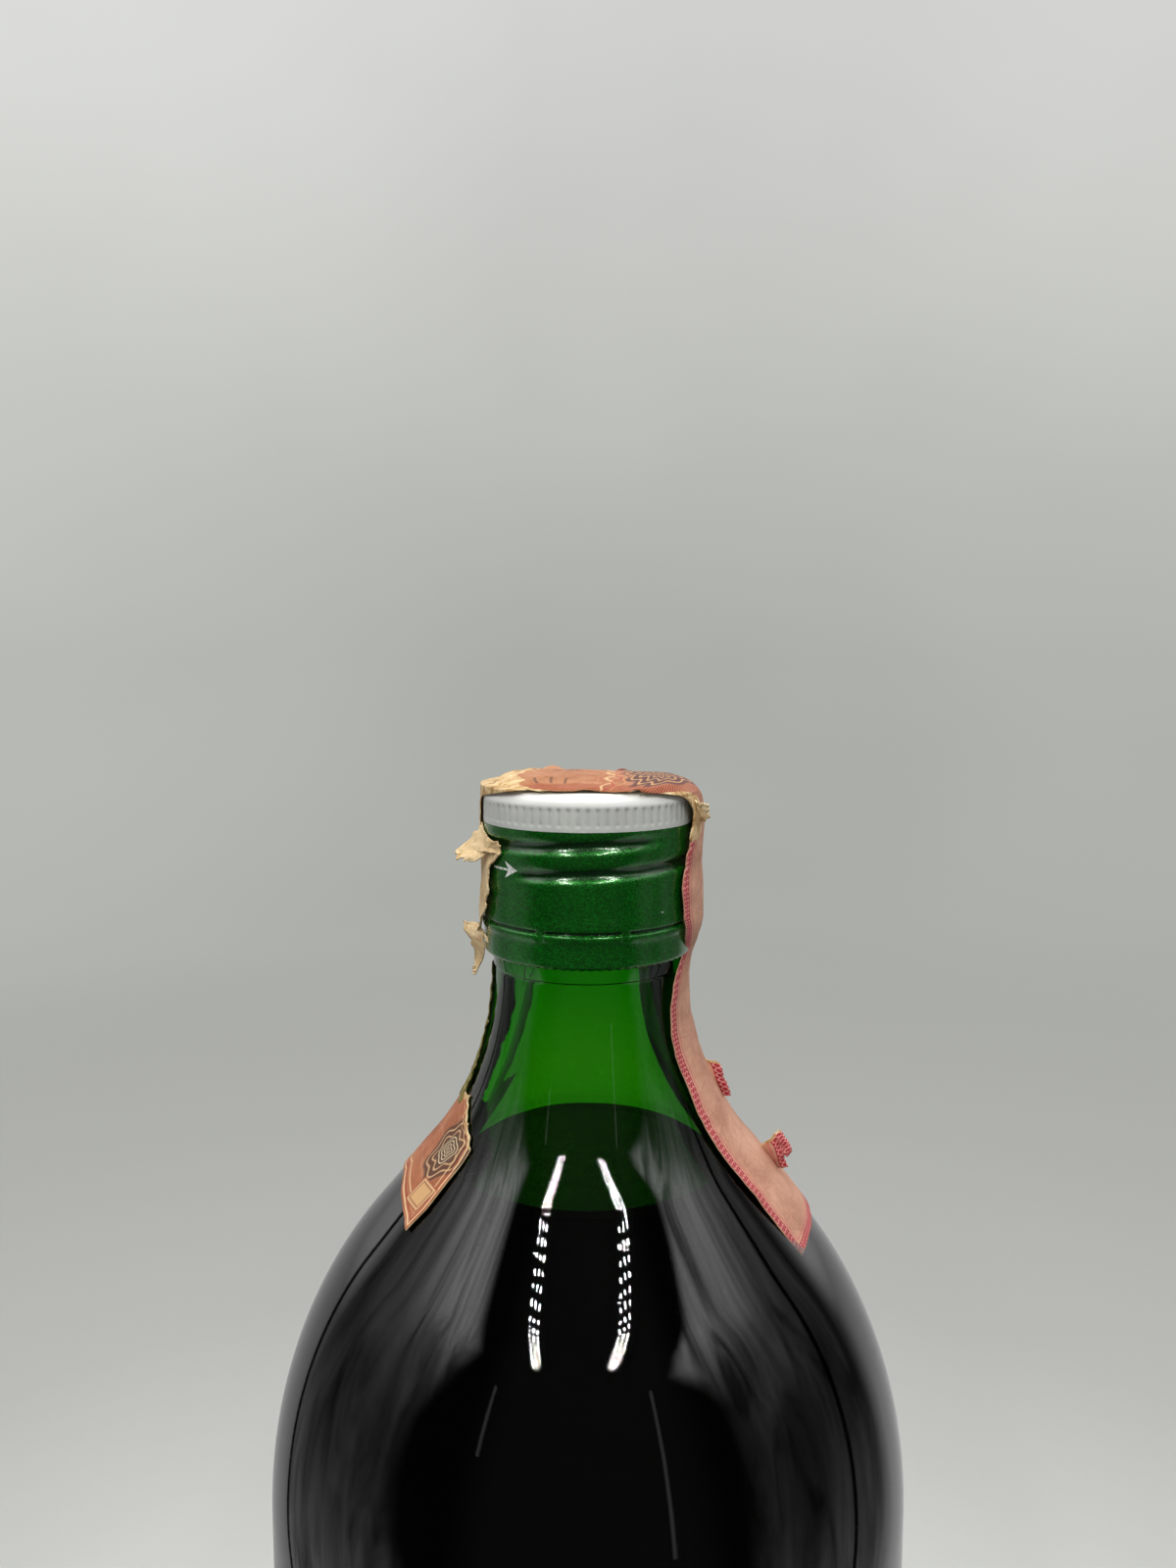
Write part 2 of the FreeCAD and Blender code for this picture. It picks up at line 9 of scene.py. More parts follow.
# %% Load the frame
from math import asin, atan2, ceil, cos, degrees, exp, hypot, pi, radians, sin, sqrt

import bmesh
import bpy
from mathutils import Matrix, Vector, noise


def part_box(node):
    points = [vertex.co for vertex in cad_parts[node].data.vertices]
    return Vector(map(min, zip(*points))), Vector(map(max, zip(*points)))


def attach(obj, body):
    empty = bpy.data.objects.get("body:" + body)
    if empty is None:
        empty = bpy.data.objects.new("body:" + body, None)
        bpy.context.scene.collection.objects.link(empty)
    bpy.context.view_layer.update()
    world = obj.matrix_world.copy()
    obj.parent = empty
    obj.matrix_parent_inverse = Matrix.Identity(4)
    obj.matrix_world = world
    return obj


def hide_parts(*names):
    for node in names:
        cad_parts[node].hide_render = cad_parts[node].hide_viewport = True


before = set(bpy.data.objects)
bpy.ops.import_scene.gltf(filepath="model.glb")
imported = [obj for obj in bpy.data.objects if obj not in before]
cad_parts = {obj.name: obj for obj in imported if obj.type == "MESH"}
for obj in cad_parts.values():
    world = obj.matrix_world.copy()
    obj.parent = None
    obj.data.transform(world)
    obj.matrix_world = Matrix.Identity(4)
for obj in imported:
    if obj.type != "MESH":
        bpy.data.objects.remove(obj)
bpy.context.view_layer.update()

MM = 0.001
scene = bpy.context.scene
scene.view_settings.view_transform = "Standard"

glass_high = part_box("bottle_glass")[1]
cap_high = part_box("screw_cap")[1]
TOP = cap_high.z / MM
BODY_RADIUS = glass_high.x / MM
print(f"the cap's top is {TOP:.1f} mm up, and the body is {2 * BODY_RADIUS:.1f} mm across")

# %% [markdown]
# ## Colours and nodes
#
# Blender's shaders count in linear light, but a colour picked from a swatch is sRGB. One function turns
# a hex value to linear. A second adds a node with its settings and its links, so that a material reads
# as a short list. A node given as an input is linked by its first output that is in use.

# %% A colour from its hex value
def linear(hex_colour):
    """An sRGB hex colour as linear RGBA."""
    parts = [int(hex_colour[i : i + 2], 16) / 255 for i in (1, 3, 5)]
    return [c / 12.92 if c <= 0.04045 else ((c + 0.055) / 1.055) ** 2.4 for c in parts] + [1.0]


print("a mid grey, #808080, is", round(linear("#808080")[0], 3), "in linear light")


# %% One node, with its settings and links
def add(tree, kind, inputs=None, stops=None, **settings):
    """Adds a node. inputs are by name, or by number among the sockets in use; stops are a ramp's."""
    made = tree.nodes.new("ShaderNode" + kind)
    for name, value in settings.items():
        setattr(made, name, value)
    if stops:
        ramp = made.color_ramp.elements
        while len(ramp) < len(stops):
            ramp.new(0.5)
        for stop, (place, colour) in zip(ramp, stops):
            stop.position = place
            stop.color = linear(colour) if isinstance(colour, str) else [colour] * 3 + [1.0]
    in_use = [socket for socket in made.inputs if socket.enabled]
    for name, value in (inputs or {}).items():
        socket = in_use[name] if isinstance(name, int) else made.inputs[name]
        if isinstance(value, bpy.types.Node):
            value = next(out for out in value.outputs if out.enabled)
        if isinstance(value, bpy.types.NodeSocket):
            tree.links.new(value, socket)
        else:
            socket.default_value = linear(value) if isinstance(value, str) else value
    return made


# %% A thin soft line
def line_at(tree, value, place, inner, outer, near, far=0.0):
    """near where value is within inner of place, and far where it is further off than outer."""
    away = add(tree, "Math", {0: value, 1: place}, operation="SUBTRACT")
    away = add(tree, "Math", {0: away}, operation="ABSOLUTE")
    spans = {"Value": away, "From Min": inner, "From Max": outer, "To Min": near, "To Max": far}
    return add(tree, "MapRange", spans)


# %% A new material
def new_material(name):
    """A material with an empty tree, and that tree."""
    made = bpy.data.materials.new(name)
    made.use_nodes = True
    made.node_tree.nodes.clear()
    return made, made.node_tree


# %% [markdown]
# ## The camera
#
# The picture is upright, so the 36 mm side of the sensor is the tall one. A 26 mm lens, a hand's length
# from the bottle and a little above the cap, gives the strong perspective of a close view.

# %% Camera
CAMERA_BACK = 169.76
CAMERA_UP = 255.9
CAMERA_PITCH = 5.72
lens = bpy.data.cameras.new("camera")
lens.lens = 26.0
lens.sensor_width = 36.0
lens.clip_start = 0.01
camera = bpy.data.objects.new("camera", lens)
camera.location = (0, -CAMERA_BACK * MM, CAMERA_UP * MM)
camera.rotation_euler = (radians(90 - CAMERA_PITCH), 0, 0)
scene.collection.objects.link(camera)
scene.camera = camera
print(f"the camera is {CAMERA_BACK:.0f} mm from the bottle's axis")

# %% [markdown]
# ## Drawing a profile and turning it
#
# Bottle, drink and cap are all turned shapes. A lathe profile is drawn with two moves: a straight side,
# made by pulling a vertex out of the last one, and an arc, made by spinning the last vertex round the
# arc's centre. The finished profile is then spun round the bottle's axis, and its ends merge.

# %% Profile moves
def side_to(bm, tip, across, up, steps=1):
    """A straight side from tip, cut into steps. Sizes are in mm."""
    start, end = tip.co.copy(), Vector((across * MM, 0, up * MM))
    for i in range(1, steps + 1):
        tip = bmesh.ops.extrude_vert_indiv(bm, verts=[tip])["verts"][0]
        tip.co = start.lerp(end, i / steps)
    return tip


def arc_about(bm, tip, across, up, turn, steps):
    """An arc from tip about a centre. A positive turn runs clockwise, seen from the front."""
    spun = bmesh.ops.spin(
        bm, geom=[tip], cent=(across * MM, 0, up * MM), axis=(0, 1, 0), angle=radians(turn), steps=steps
    )
    return spun["geom_last"][0]


def turn_profile(bm, steps):
    """Spins the profile round the bottle's axis and closes the poles."""
    bmesh.ops.remove_doubles(bm, verts=bm.verts[:], dist=0.001 * MM)
    bmesh.ops.spin(
        bm, geom=bm.verts[:] + bm.edges[:], cent=(0, 0, 0), axis=(0, 0, 1), angle=2 * pi, steps=steps,
        use_merge=True,
    )
    bmesh.ops.remove_doubles(bm, verts=bm.verts[:], dist=0.0005 * MM)
    bmesh.ops.recalc_face_normals(bm, faces=bm.faces[:])


def finished(bm, name, materials):
    """Turns a bmesh into a smooth piece that rides on the bottle."""
    mesh = bpy.data.meshes.new(name)
    bm.to_mesh(mesh)
    bm.free()
    mesh.shade_smooth()
    for material in materials:
        mesh.materials.append(material)
    piece = bpy.data.objects.new(name, mesh)
    scene.collection.objects.link(piece)
    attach(piece, "root")
    print(f"{name}: {len(mesh.polygons)} faces, {[round(d / MM, 1) for d in piece.dimensions]} mm")
    return piece


# %% [markdown]
# ## The studio
#
# A studio sweep is one pale sheet, flat under the object and curved up behind it. This one is
# turned all the way round, so that every side of the bottle has the same plain ground. The floor takes
# the light and the bottle's shadow. The wall only shows itself to the camera and through the glass.

# %% The sweep
FLOOR_REACH = 900
SWEEP_ROUND = 700
WALL_HEIGHT = 2600
bm = bmesh.new()
tip = bm.verts.new((0, 0, 0))
tip = side_to(bm, tip, FLOOR_REACH, 0, 12)
tip = arc_about(bm, tip, FLOOR_REACH, SWEEP_ROUND, -90, 12)
tip = side_to(bm, tip, FLOOR_REACH + SWEEP_ROUND, WALL_HEIGHT, 4)
turn_profile(bm, 96)
bmesh.ops.reverse_faces(
    bm,
    faces=[f for f in bm.faces if f.normal.z < -0.01 or f.normal.xy.dot(f.calc_center_median().xy) > 0.01]
)
sweep_mesh = bpy.data.meshes.new("studio_sweep")
bm.to_mesh(sweep_mesh)
bm.free()
sweep_mesh.shade_smooth()
sweep = bpy.data.objects.new("studio_sweep", sweep_mesh)
scene.collection.objects.link(sweep)
for ray in ("glossy", "diffuse", "shadow", "volume_scatter"):
    setattr(sweep, "visible_" + ray, False)
print("the sweep has", len(sweep_mesh.polygons), "faces")

# %% The sweep's paper: a pale grey, with painted light: the floor is painted lighter close by, and the wall glows lighter high up and to the left
sweep_paper, tree = new_material("matt background paper")
place = add(tree, "TexCoord").outputs["Object"]
parts = add(tree, "SeparateXYZ", {0: place})
flat = add(tree, "CombineXYZ", {0: parts.outputs[0], 1: parts.outputs[1]})
reach = add(tree, "VectorMath", {0: flat}, operation="LENGTH").outputs["Value"]
# Painted light: the floor's grey is lighter close to the bottle, a pool of light painted into it.
near = add(tree, "MapRange", {"Value": reach, "From Min": 0.08, "From Max": 0.6})
floor_painted_light = add(
    tree, "ValToRGB", {0: near},
    stops=[
        (0.0, "#d2d3d0"), (0.12, "#c6c7c3"), (0.24, "#b9bab6"), (0.41, "#adaeaa"), (0.75, "#a9aaa6"),
        (1.0, "#a9aaa6")
    ]
)
# Painted light: the wall's glow is lighter higher up.
high = add(tree, "MapRange", {"Value": parts.outputs[2], "From Min": 0.0, "From Max": 1.5})
wall_painted_light = add(
    tree, "ValToRGB", {0: high},
    stops=[
        (0.0, "#b1b3ae"), (0.18, "#b2b4af"), (0.34, "#bcbeb9"), (0.55, "#cbccc8"), (0.8, "#d8d9d6"),
        (1.0, "#dededc")
    ]
)
grain = add(tree, "TexNoise", {"Vector": place, "Scale": 2.2, "Detail": 2.0})
cloud = add(
    tree, "MapRange", {"Value": grain, "From Min": 0.3, "From Max": 0.7, "To Min": 0.97, "To Max": 1.03}
)
# Painted light: the wall's glow is lighter to the left and darker in the middle.
beside = add(tree, "MapRange", {"Value": parts.outputs[0], "From Min": -0.9, "From Max": 0.9})
beside = add(tree, "ValToRGB", {0: beside}, stops=[(0.0, 1.0), (0.45, 0.84), (0.62, 0.84), (1.0, 0.9)])
beside = add(tree, "Math", {0: beside.outputs[0], 1: 1.1}, operation="MULTIPLY")
cloud = add(tree, "Math", {0: cloud, 1: beside}, operation="MULTIPLY")
wall_painted_light = add(tree, "VectorMath", {0: wall_painted_light.outputs[0], 1: cloud}, operation="MULTIPLY")
lit = add(tree, "BsdfDiffuse", {"Color": floor_painted_light.outputs[0]})
glow = add(tree, "Emission", {"Color": wall_painted_light, "Strength": 1.0})
up_wall = add(
    tree, "MapRange", {"Value": reach, "From Min": 0.55, "From Max": 0.95}, interpolation_type="SMOOTHSTEP"
)
shown = add(tree, "MixShader", {0: up_wall, 1: lit, 2: glow})
add(tree, "OutputMaterial", {"Surface": shown})
sweep_paper.cycles.emission_sampling = "NONE"
sweep_mesh.materials.append(sweep_paper)
print("the sweep is", round(2 * (FLOOR_REACH + SWEEP_ROUND) / 1000, 1), "m across")

# %% [markdown]
# ## The light
#
# The bottle stands in a white tent whose front is open towards the camera. A glossy, almost black
# bottle shows its surroundings more than its own colour, so the tent matters: a dark opening in front,
# creased cloth at both sides and a bright back. The world shader draws it by direction. Two rows of
# small lamps shine down from the front edge of the tent's roof, and a large soft lamp is over the top.

# %% The tent, drawn by direction in the world shader
world = bpy.data.worlds.new("tent")
scene.world = world
world.use_nodes = True
tree = world.node_tree
tree.nodes.clear()
toward = add(tree, "TexCoord").outputs["Generated"]
parts = add(tree, "SeparateXYZ", {0: toward})
behind = add(tree, "Math", {0: parts.outputs[1], 1: -1.0}, operation="MULTIPLY")
azimuth = add(tree, "Math", {0: parts.outputs[0], 1: behind}, operation="ARCTAN2")
azimuth = add(tree, "Math", {0: azimuth}, operation="DEGREES")
aside = add(tree, "Math", {0: azimuth}, operation="ABSOLUTE")
climb = add(tree, "Math", {0: parts.outputs[2]}, operation="ARCSINE")
climb = add(tree, "Math", {0: climb}, operation="DEGREES")

# %% The cloth at the sides: a bright band high up, a soft grey below it
sheet_place = add(tree, "CombineXYZ", {0: azimuth, 1: climb})
leaning = add(
    tree, "Mapping", {"Vector": sheet_place, "Rotation": (0, 0, radians(14)), "Scale": (0.09, 0.03, 1.0)}
)
crease = add(
    tree, "TexNoise", {"Vector": leaning, "Scale": 1.0, "Detail": 4.0, "Roughness": 0.55, "Distortion": 1.2}
)
crease = add(
    tree, "MapRange", {"Value": crease, "From Min": 0.32, "From Max": 0.68, "To Min": 0.3, "To Max": 1.7}
)


def by_climb(pairs, most):
    """A value read from (climb in degrees, value) pairs."""
    share = add(tree, "MapRange", {"Value": climb, "From Min": -90.0, "From Max": 90.0})
    stops = [((degree + 90) / 180, value / most) for degree, value in pairs]
    ramp = add(tree, "ValToRGB", {0: share}, stops=stops)
    return add(tree, "Math", {0: ramp.outputs[0], 1: float(most)}, operation="MULTIPLY")


hung = by_climb(
    [
        (-40, 0.6), (-28, 0.36), (-20, 0.27), (-10, 0.19), (0, 0.18), (7, 0.22), (15, 0.37), (22, 0.46),
        (27, 0.75), (32, 1.4), (38, 2.1), (46, 1.9), (53, 0.6), (62, 0.1), (90, 0.05)
    ],
    2.2
)
hung = add(tree, "Math", {0: hung, 1: crease}, operation="MULTIPLY")
on_right = add(tree, "Math", {0: azimuth, 1: 0.0}, operation="GREATER_THAN")
weaker = add(tree, "Math", {0: on_right, 1: -0.3, 2: 1.05}, operation="MULTIPLY_ADD")
hung = add(tree, "Math", {0: hung, 1: weaker}, operation="MULTIPLY")
rear = add(
    tree, "MapRange", {"Value": aside, "From Min": 90.0, "From Max": 108.0, "To Min": 1.0, "To Max": 0.6}
)
hung = add(tree, "Math", {0: hung, 1: rear}, operation="MULTIPLY")
left_edge = by_climb(
    [(-20, 60), (-12, 65), (0, 69), (12, 69), (20, 65), (28, 60), (36, 54), (42, 60), (60, 80)], 90
)
right_edge = by_climb([(-12, 54), (12, 57), (20, 57), (27, 51), (34, 39), (38, 44), (44, 60), (60, 80)], 90)
cloth_edge = add(tree, "Mix", {0: on_right, 1: left_edge, 2: right_edge}, data_type="FLOAT")
past_edge = add(tree, "Math", {0: aside, 1: cloth_edge}, operation="SUBTRACT")
opening = add(
    tree, "MapRange", {"Value": past_edge, "From Min": -5.0, "From Max": 6.0},
    interpolation_type="SMOOTHSTEP"
)
dim = add(
    tree, "MapRange", {"Value": aside, "From Min": 32.0, "From Max": 46.0, "To Min": 0.055, "To Max": 0.015}
)
front = add(tree, "Mix", {0: opening, 1: dim, 2: hung}, data_type="FLOAT")
back_tone = by_climb([(-30, 0.42), (-4, 0.40), (5, 0.95), (40, 1.0), (60, 0.3), (80, 0.06)], 1.2)
right_back = add(tree, "Math", {0: on_right, 1: 0.28, 2: 1.0}, operation="MULTIPLY_ADD")
back_tone = add(tree, "Math", {0: back_tone, 1: right_back}, operation="MULTIPLY")
back = add(
    tree, "MapRange", {"Value": aside, "From Min": 116.0, "From Max": 131.0},
    interpolation_type="SMOOTHSTEP"
)
tent = add(tree, "Mix", {0: back, 1: front, 2: back_tone}, data_type="FLOAT")

# %% Two thin gaps of light at the opening's edges
for bearing, low, high in ((-39.5, 14.0, 31.0), (27.0, -6.0, 33.0)):
    light = line_at(tree, azimuth, bearing, 0.3, 0.9, 0.45)
    above = add(tree, "Math", {0: climb, 1: low}, operation="GREATER_THAN")
    below = add(tree, "Math", {0: climb, 1: high}, operation="LESS_THAN")
    light = add(tree, "Math", {0: light, 1: above}, operation="MULTIPLY")
    light = add(tree, "Math", {0: light, 1: below}, operation="MULTIPLY")
    tent = add(tree, "Math", {0: tent, 1: light}, operation="ADD")

# %% Two seams of the tent, thin and dark, one at each side
for bearing, lean in ((-127.5, -0.12), (101.8, 0.15)):
    place = add(tree, "Math", {0: climb, 1: lean, 2: bearing}, operation="MULTIPLY_ADD")
    seam = line_at(tree, azimuth, place, 0.6, 1.9, 0.04, 1.0)
    tent = add(tree, "Math", {0: tent, 1: seam}, operation="MULTIPLY")
air = add(tree, "Background", {"Color": tent, "Strength": 1.0})
add(tree, "OutputWorld", {"Surface": air})
print("the tent is drawn by", len(tree.nodes), "nodes")

# %% Two rows of small lamps at the front edge of the roof
LAMP_UP = 484
lamp_glow, tree = new_material("lamp lens")
add(tree, "OutputMaterial", {"Surface": add(tree, "Emission", {"Color": "#fffdf8", "Strength": 400.0})})
LAMP_ROWS, LAMP_SPACING, ROW_SPACING, LENS_SIZE = 3, 9.0, 13.0, 3.8
for name, across, near_end, far_end, slant in (
    ("left", -152, -197, -388, 0.06), ("right", 132, -197, -402, 0.27),
):
    bm = bmesh.new()
    for row in range(LAMP_ROWS):
        for i in range(ceil((near_end - far_end) / LAMP_SPACING)):
            back = LAMP_SPACING * (i + 0.5 * (row % 2))
            spot = Vector((across + ROW_SPACING * (row - 1) - slant * back, near_end - back, LAMP_UP)) * MM
            made = bmesh.ops.create_circle(bm, cap_ends=True, segments=6, radius=LENS_SIZE / 2 * MM)
            bmesh.ops.translate(bm, verts=made["verts"], vec=spot)
    for face in bm.faces:
        if face.normal.z > 0:
            face.normal_flip()
    lamp_mesh = bpy.data.meshes.new(f"lamp_row_{name}")
    bm.to_mesh(lamp_mesh)
    bm.free()
    lamp_mesh.materials.append(lamp_glow)
    lamps = bpy.data.objects.new(f"lamp_row_{name}", lamp_mesh)
    scene.collection.objects.link(lamps)
    lamps.visible_camera = lamps.visible_transmission = False
    print(lamps.name, "has", len(lamp_mesh.polygons), "lamps")

# %% The soft lamps, which the gloss of the bottle doesn't show
LAMP_AIM = 150
for name, place, size, watts in (
    ("roof_lamp", (0, -120, 2500), 2.4, 45.0), ("front_fill", (0, -1500, 700), 1.2, 3.0),
):
    light = bpy.data.lights.new(name, "AREA")
    light.shape = "SQUARE"
    light.size = size
    light.energy = watts
    lamp = bpy.data.objects.new(name, light)
    lamp.location = Vector(place) * MM
    lamp.rotation_euler = (Vector((0, 0, LAMP_AIM)) * MM - lamp.location).to_track_quat("-Z", "Y").to_euler()
    lamp.visible_glossy = lamp.visible_transmission = False
    scene.collection.objects.link(lamp)

# %% [markdown]
# ## The glass
#
# Dark green bottle glass is blown in an iron mould. Its outside is smooth, with faint ripples and the
# fine scratches that handling leaves, and its inside is wavier, because only air pressed it. It could
# be a solid with a green colour, but the light would then look the same through a thick wall and a thin
# one. Here it is a real wall, and the green comes from absorption along the way through it.

# %% The glass maker's sizes, in mm, as the CAD part has them
SHOULDER_SLOPE, SHOULDER_RUN = 40.2, 15.5
NECK_ARC, NECK_RADIUS, WAIST_DROP = 42.0, 14.1, 28.3
FINISH_STEP, FINISH_DROP, LIP_ROUND = 0.3, 26.9, 1.6
HEEL, BEARING, PUNT = 7.0, 2.4, 6.5
BORE_RADIUS, BORE_DROP, BORE_ARC = 8.75, 19.3, 67.0
BODY_WALL, BASE_WALL, INNER_HEEL = 3.6, 6.3, 8.0
FILL_DROP = 58.2
LEAN = radians(SHOULDER_SLOPE)
LIP = glass_high.z / MM
WAIST = TOP - WAIST_DROP
LEVEL = TOP - FILL_DROP
SHOULDER_ARC = (BODY_RADIUS - NECK_RADIUS - SHOULDER_RUN * sin(LEAN)) / (1 - cos(LEAN)) - NECK_ARC
SHOULDER = WAIST - (SHOULDER_ARC + NECK_ARC) * sin(LEAN) - SHOULDER_RUN * cos(LEAN)
INNER_RADIUS, INNER_ARC = BODY_RADIUS - BODY_WALL, SHOULDER_ARC - BODY_WALL
BORE_FOOT = TOP - BORE_DROP
INNER_RUN = (INNER_RADIUS - BORE_RADIUS - (INNER_ARC + BORE_ARC) * (1 - cos(LEAN))) / sin(LEAN)
INNER_SHOULDER = BORE_FOOT - (INNER_ARC + BORE_ARC) * sin(LEAN) - INNER_RUN * cos(LEAN)
SHOULDER_CENTRE = BODY_RADIUS - SHOULDER_ARC
print(f"shoulder from {SHOULDER:.1f} to {WAIST:.1f} mm, on an arc of {SHOULDER_ARC:.1f} mm")


# %% Glass radius at a height, for what lies on the glass
def glass_radius(up):
    """The outside radius of the glass at a height, in mm."""
    neck_foot = WAIST - NECK_ARC * sin(LEAN)
    slope_foot = SHOULDER + SHOULDER_ARC * sin(LEAN)
    if up > WAIST:
        return NECK_RADIUS
    if up < SHOULDER:
        return BODY_RADIUS
    if up > neck_foot:
        return NECK_RADIUS + NECK_ARC - sqrt(NECK_ARC**2 - (WAIST - up) ** 2)
    if up > slope_foot:
        return NECK_RADIUS + NECK_ARC * (1 - cos(LEAN)) + (neck_foot - up) * sin(LEAN) / cos(LEAN)
    return SHOULDER_CENTRE + sqrt(SHOULDER_ARC**2 - (up - SHOULDER) ** 2)


# %% The cavity, from a height on the bore down to its floor
def draw_cavity(bm, tip, start_angle, gap=0.0):
    """The inside wall below the straight bore. gap is how much smaller than the cavity it is."""
    arc = BORE_ARC + gap
    tip = arc_about(bm, tip, BORE_RADIUS + BORE_ARC, BORE_FOOT, start_angle - SHOULDER_SLOPE, 18)
    tip = side_to(
        bm, tip, SHOULDER_CENTRE + (INNER_ARC - gap) * cos(LEAN),
        INNER_SHOULDER + (INNER_ARC - gap) * sin(LEAN), 4
    )
    tip = arc_about(bm, tip, SHOULDER_CENTRE, INNER_SHOULDER, SHOULDER_SLOPE, 20)
    tip = side_to(bm, tip, INNER_RADIUS - gap, BASE_WALL + INNER_HEEL, 10)
    tip = arc_about(bm, tip, INNER_RADIUS - INNER_HEEL, BASE_WALL + INNER_HEEL, 90, 10)
    foot = INNER_RADIUS - INNER_HEEL
    floor_arc = (foot**2 + PUNT**2) / (2 * PUNT)
    floor_turn = degrees(asin(foot / floor_arc))
    return arc_about(bm, tip, 0, BASE_WALL + gap + PUNT - floor_arc, -floor_turn, 8)


# %% The glass: outside from the punt to the mouth, then the inside down to its floor
bm = bmesh.new()
ring_in = BODY_RADIUS - HEEL - BEARING
punt_arc = (ring_in**2 + PUNT**2) / (2 * PUNT)
tip = bm.verts.new((0, 0, PUNT * MM))
tip = arc_about(bm, tip, 0, PUNT - punt_arc, degrees(asin(ring_in / punt_arc)), 10)
tip = side_to(bm, tip, BODY_RADIUS - HEEL, 0, 2)
tip = arc_about(bm, tip, BODY_RADIUS - HEEL, HEEL, -90, 10)
tip = side_to(bm, tip, BODY_RADIUS, SHOULDER, 14)
tip = arc_about(bm, tip, SHOULDER_CENTRE, SHOULDER, -SHOULDER_SLOPE, 30)
tip = side_to(bm, tip, glass_radius(WAIST - NECK_ARC * sin(LEAN)), WAIST - NECK_ARC * sin(LEAN), 8)
tip = arc_about(bm, tip, NECK_RADIUS + NECK_ARC, WAIST, SHOULDER_SLOPE, 24)
tip = side_to(bm, tip, NECK_RADIUS, TOP - FINISH_DROP - FINISH_STEP, 2)
for i in range(1, 6):
    rise = 0.5 - 0.5 * cos(pi * i / 5)
    tip = side_to(bm, tip, NECK_RADIUS + FINISH_STEP * rise, TOP - FINISH_DROP - FINISH_STEP * (1 - i / 5))
tip = side_to(bm, tip, NECK_RADIUS + FINISH_STEP, LIP - LIP_ROUND, 8)
tip = arc_about(bm, tip, NECK_RADIUS + FINISH_STEP - LIP_ROUND, LIP - LIP_ROUND, -90, 6)
tip = side_to(bm, tip, BORE_RADIUS, LIP, 3)
tip = side_to(bm, tip, BORE_RADIUS, BORE_FOOT, 8)
tip = draw_cavity(bm, tip, 0.0)
turn_profile(bm, 160)
print("the turned glass reaches", [round(max(abs(v.co[i]) for v in bm.verts) / MM, 2) for i in range(3)])

# %% Ripples of the blown inside: slow vertex moves along the wall
RIPPLE = 0.10
for v in bm.verts:
    across, up = hypot(v.co.x, v.co.y) / MM, v.co.z / MM
    inside = across < glass_radius(up) - 1.5 and 20 < up < LIP - 12
    if inside:
        wave = noise.noise(Vector((v.co.x / MM / 9, v.co.y / MM / 9, up / 34)))
        push = 1 + RIPPLE * wave / max(across, 1)
        v.co.x, v.co.y = v.co.x * push, v.co.y * push
print("the inside waves by up to", RIPPLE, "mm")

# %% Bottle glass
bottle_glass, tree = new_material("blown dark green bottle glass")
place = add(tree, "TexCoord").outputs["Object"]
ripple = add(tree, "TexNoise", {"Vector": place, "Scale": 55.0, "Detail": 1.0})
wipe = add(
    tree, "Mapping", {"Vector": place, "Rotation": (0, radians(33), 0), "Scale": (120.0, 120.0, 4200.0)}
)
scratch = add(tree, "TexNoise", {"Vector": wipe, "Scale": 1.0, "Detail": 2.0, "Roughness": 0.6})
scratch = add(
    tree, "ValToRGB", {0: scratch.outputs[0]}, stops=[(0.0, 0.0), (0.62, 0.0), (0.72, 0.6), (0.8, 1.0)]
)
patch = add(tree, "TexNoise", {"Vector": place, "Scale": 38.0, "Detail": 2.0})
patch = add(tree, "MapRange", {"Value": patch, "From Min": 0.45, "From Max": 0.7})
scratch = add(tree, "Math", {0: scratch.outputs[0], 1: patch}, operation="MULTIPLY")
bumps = add(tree, "Bump", {"Strength": 0.08, "Distance": 0.0006, "Height": ripple})
bumps = add(tree, "Bump", {"Strength": 0.2, "Distance": 0.00002, "Height": scratch, "Normal": bumps})
dust = add(tree, "TexVoronoi", {"Vector": place, "Scale": 330.0, "Randomness": 1.0})
speck = add(
    tree, "MapRange",
    {"Value": dust.outputs["Distance"], "From Min": 0.016, "From Max": 0.03, "To Min": 0.6, "To Max": 0.0}
)
few = add(tree, "SeparateColor", {0: dust.outputs["Color"]})
few = add(tree, "Math", {0: few.outputs[0], 1: 0.86}, operation="GREATER_THAN")
speck = add(tree, "Math", {0: speck, 1: few}, operation="MULTIPLY")
film = add(tree, "Mix", {0: patch, 1: "#ffffff", 2: "#f3f7f2"}, data_type="RGBA")
dull = add(
    tree, "MapRange", {"Value": scratch, "From Min": 0.0, "From Max": 1.0, "To Min": 0.0, "To Max": 0.06}
)
clear = add(
    tree, "BsdfPrincipled",
    {"Base Color": film, "Roughness": dull, "IOR": 1.52, "Transmission Weight": 1.0, "Normal": bumps},
)
lint = add(tree, "BsdfPrincipled", {"Base Color": "#c9cbc6", "Roughness": 0.9})
surface = add(tree, "MixShader", {0: speck, 1: clear, 2: lint})
green_way = add(tree, "VolumeAbsorption", {"Color": (0.48, 0.85, 0.0, 1.0), "Density": 900.0})
add(tree, "OutputMaterial", {"Surface": surface, "Volume": green_way})
print(bottle_glass.name, "has", len(tree.nodes), "nodes")

# %% Place the glass
glass = finished(bm, "blown_glass", [bottle_glass])
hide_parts("bottle_glass")

# %% [markdown]
# ## The drink
#
# The liqueur is so dark that a finger's width of it stops all light. A see-through liquid would cost a
# lot of render time and look the same, so the drink is opaque. It reaches a little way into the wall, so
# no film of air shows between the two. Its sides have almost no gloss of their own, because glass and
# drink bend light nearly alike, but its open top is as bright a mirror as any water, and it climbs the
# wall in a small meniscus.

